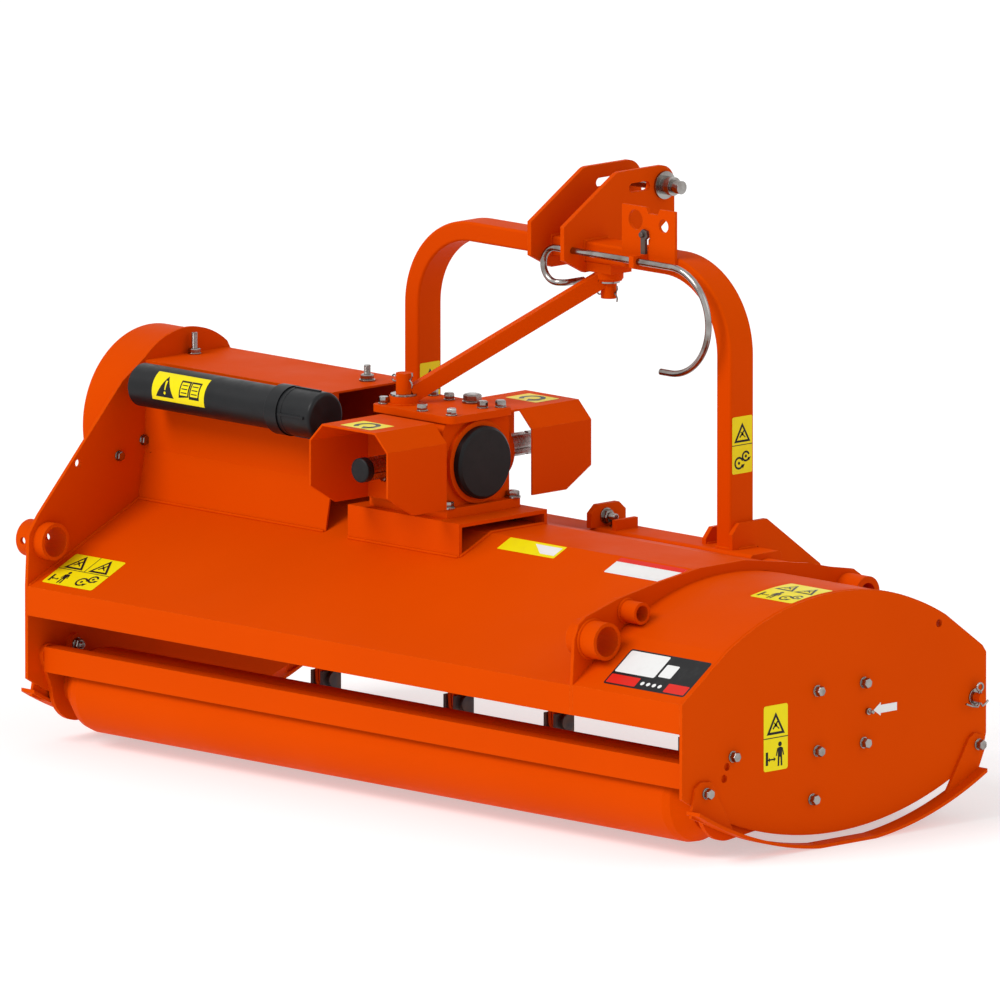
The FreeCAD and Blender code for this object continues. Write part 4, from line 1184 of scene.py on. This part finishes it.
@dataclass
class HitchFittings(Fittings):
    """Welds, pins, bolts and stickers of the hitch arch."""

    rear_y: float = 550.4
    front_y: float = 601.6
    leg_feet: tuple[Point3, ...] = ((212.0, 242.0, 350.8), (-452.0, -422.0, 344.8))
    cheek_faces: tuple[float, ...] = (-66.0, -74.0, -136.0, -144.0)
    beam_ends: Point2 = (300.6, -40.6)
    link_plates: tuple[Point2, ...] = ((250.6, 350.6), (184.6, 350.6), (-460.6, 344.6), (-385.4, 344.6))
    latch_x: float = 68.0
    leg_faces: tuple[tuple[str, float], ...] = (("right", 242.0), ("left", -422.0))

    def make(self) -> None:
        """Makes every piece."""
        self.welds()
        self.pins()
        self.latch()
        self.stickers()

    def latch(self) -> None:
        """Makes the spring latch over the keyhole of the coupler plate, above the hook's clip."""
        pen = MeshPen()
        outline = [(-5.0, 774.0), (4.0, 774.0), (4.0, 797.0), (9.0, 802.0), (7.0, 810.0), (-2.0, 812.0),
                   (-8.0, 806.0), (-5.0, 799.0)]
        pen.slab([self.datum.at(self.latch_x + a, 545.7, z) for a, z in outline], AFT, 5.0)
        pen.lathe(self.datum.at(self.latch_x - 2, 540.8, 804.0), AFT, [(0, 4.4), (3, 4.4), (4, 3.4)], 18)
        self.piece("hook_latch", pen, Slot.DARK, 30.0)

    def welds(self) -> None:
        """Makes the welds of legs, link plates, cheeks and couplers."""
        seams = Welds(self.datum)
        for x0, x1, z in self.leg_feet:
            for y in (self.rear_y, self.front_y):
                seams.bead([(x0, y, z), (x1, y, z)])
        for x in self.cheek_faces:
            seams.bead([(x, self.rear_y, 748.0), (x, self.rear_y, 777.6), (x, 601.0, 777.6)])
        seams.bead([(19.0, 548.0, 756.4), (129.0, 548.0, 756.4)])
        seams.bead([(-39.0, 535.6, 300.0), (299.0, 535.6, 300.0)])
        seams.bead([(-40.6, 543.0, 344.0), (-40.6, 595.0, 344.0)])
        for x in self.beam_ends:
            seams.bead([(x, 537, 286), (x, 601, 286)])
        for x, top in self.link_plates:
            seams.bead([(x, 560.0, top), (x, 598.0, top)])
        self.seams("hitch_welds", seams)

    def pins(self) -> None:
        """Makes the beam's adjuster bolt and clamp bolts, the washers and the split pins."""
        screws = Fasteners(self.datum)
        screws.bolt((-40.0, 560.0, 366.0), LEFT, Hex.M12)
        screws.nut((-30.0, 560.0, 366.0), RIGHT, Hex.M12, 0.1, 12.0)
        screws.bolt((-14.0, 569.0, 350.0), UP, Hex.M12)
        screws.bolt((120.0, 536.0, 328.0), AFT, Hex.M12)
        self.screws("beam_bolts", screws)

        pins = Fasteners(self.datum)
        for place in ((-186.0, 292.0, 585.0), (-40.0, 576.0, 700.0)):
            pins.split_pin(place, RIGHT, UP, 30.0)
        for x in (267.0, -476.0):
            pins.split_pin((x, 706.0, 290.0), UP, FORE, 28.0)
        pins.washer(self.datum.at(-186.0, 292.0, 561.2), UP, 20.0, 3.0)
        pins.washer(self.datum.at(-40.0, 576.0, 718.6), DOWN, 17.0, 3.0)
        self.screws("hitch_pins", pins)

    def stickers(self) -> None:
        """Makes the warning labels on both legs."""
        for name, x in self.leg_faces:
            label = Sticker(f"label_leg_{name}", Flat(self.datum.at(x, 555, 462), FORE, UP), 42, 86)
            label.draw(Pictogram.WARNING, 4, 47, 34)
            label.poly(rect(0, 42.4, 42, 1.2))
            label.draw(Pictogram.GEARS, 4, 4, 34)
            label.stick(self.palette, corner=3.0)


@dataclass
class RotorFittings(Fittings):
    """Nuts of the flail bolts."""

    axis: Point2 = (328.0, 187.0)
    count: int = 18
    pitch: float = 71.0
    bolt_radius: float = 84.0
    lug_face: float = 13.2

    def make(self) -> None:
        """Makes every piece: four rows of nuts, with the rows of the two halves out of step."""
        nuts = Fasteners(self.datum)
        for index in range(self.count):
            x = (index - (self.count - 1) / 2) * self.pitch - self.lug_face
            row = (index + (index >= self.count // 2)) % 4
            angle = math.radians(90.0 * row - 90.0)
            y = self.axis[0] - self.bolt_radius * math.sin(angle)
            z = self.axis[1] + self.bolt_radius * math.cos(angle)
            nuts.nut((x, y, z), LEFT, Hex.M12, 0.3, 2.0)
        self.screws("flail_nuts", nuts, "rotor")


# ---- studio ----
@dataclass(frozen=True)
class Lamp:
    """Sun-like lamp, by the direction it shines from."""

    name: str
    azimuth: float
    elevation: float
    strength: float
    softness: float

    def make(self) -> None:
        """Makes the lamp."""
        data = bpy.data.lights.new(self.name, "SUN")
        data.energy = self.strength
        data.angle = math.radians(self.softness)
        stand(self.name, data, self.azimuth, self.elevation)


@dataclass
class Studio:
    """White floor and sky, soft lamps and a long lens."""

    azimuth: float = 45.6
    elevation: float = 10.0
    lens: float = 1200.0
    distance: float = 49.55
    aim: Point3 = (-0.016, -0.016, 0.413)
    ambient: float = 0.55
    lamps: tuple[Lamp, ...] = (Lamp("key_lamp", -16.0, 42.0, 1.72, 30.0),
                               Lamp("side_lamp", 105.0, 30.0, 0.34, 40.0))
    floor_reach: float = 60.0
    floor_grey: float = 0.66
    floor_glow: float = 0.47

    def make(self) -> None:
        """Makes floor, sky, lamps and camera."""
        for lamp in self.lamps:
            lamp.make()
        self.floor()
        self.sky()
        self.camera()

    def floor(self) -> None:
        """Makes the wide white floor."""
        mesh = bpy.data.meshes.new("floor")
        corners = ((-1, -1), (1, -1), (1, 1), (-1, 1))
        mesh.from_pydata([(self.floor_reach * x, self.floor_reach * y, 0) for x, y in corners], [],
                         [(0, 1, 2, 3)])
        nodes = Nodes.new("floor_white")
        nodes.set("Base Color", (self.floor_grey,) * 3)
        nodes.set("Emission Color", WHITE)
        nodes.set("Emission Strength", self.floor_glow)
        nodes.set("Roughness", 0.9)
        nodes.set("Specular IOR Level", 0.0)
        mesh.materials.append(nodes.owner)
        floor = bpy.data.objects.new("floor", mesh)
        bpy.context.scene.collection.objects.link(floor)

    def sky(self) -> None:
        """Makes a sky that is white to the camera and in reflections, softer as a light."""
        world = bpy.data.worlds.new("studio_sky")
        bpy.context.scene.world = world
        world.use_nodes = True
        nodes = Nodes(world)
        background = world.node_tree.nodes["Background"]
        nodes.give(background.inputs["Color"], WHITE)
        path = nodes.node("ShaderNodeLightPath").outputs
        seen = path["Is Camera Ray"]
        for ray in ("Is Glossy Ray", "Is Transmission Ray"):
            seen = nodes.node("ShaderNodeMath", seen, path[ray], operation="MAXIMUM").outputs["Value"]
        level = nodes.spread(seen, self.ambient, 1.0, 0.0, 1.0)
        nodes.give(background.inputs["Strength"], level)

    def camera(self) -> None:
        """Sets a long lens behind the machine on the right, a little above the deck."""
        data = bpy.data.cameras.new("camera")
        data.lens, data.sensor_width, data.clip_end = self.lens, 36.0, 200.0
        bpy.context.scene.camera = stand("camera", data, self.azimuth, self.elevation,
                                         self.distance, self.aim)


def main() -> None:
    """Dresses the machine and sets up the studio."""
    logging.basicConfig(level=logging.INFO, format="%(name)s %(message)s")
    palette = Palette.mixed()
    palette.dress_frame()
    datum = Datum.from_frame()
    for group in (EndPlates, Deck, DriveFittings, HitchFittings, RotorFittings):
        group(datum, palette).make()
    Studio().make()
    bpy.context.scene.view_settings.view_transform = "Standard"


if __name__ == "__main__":
    main()
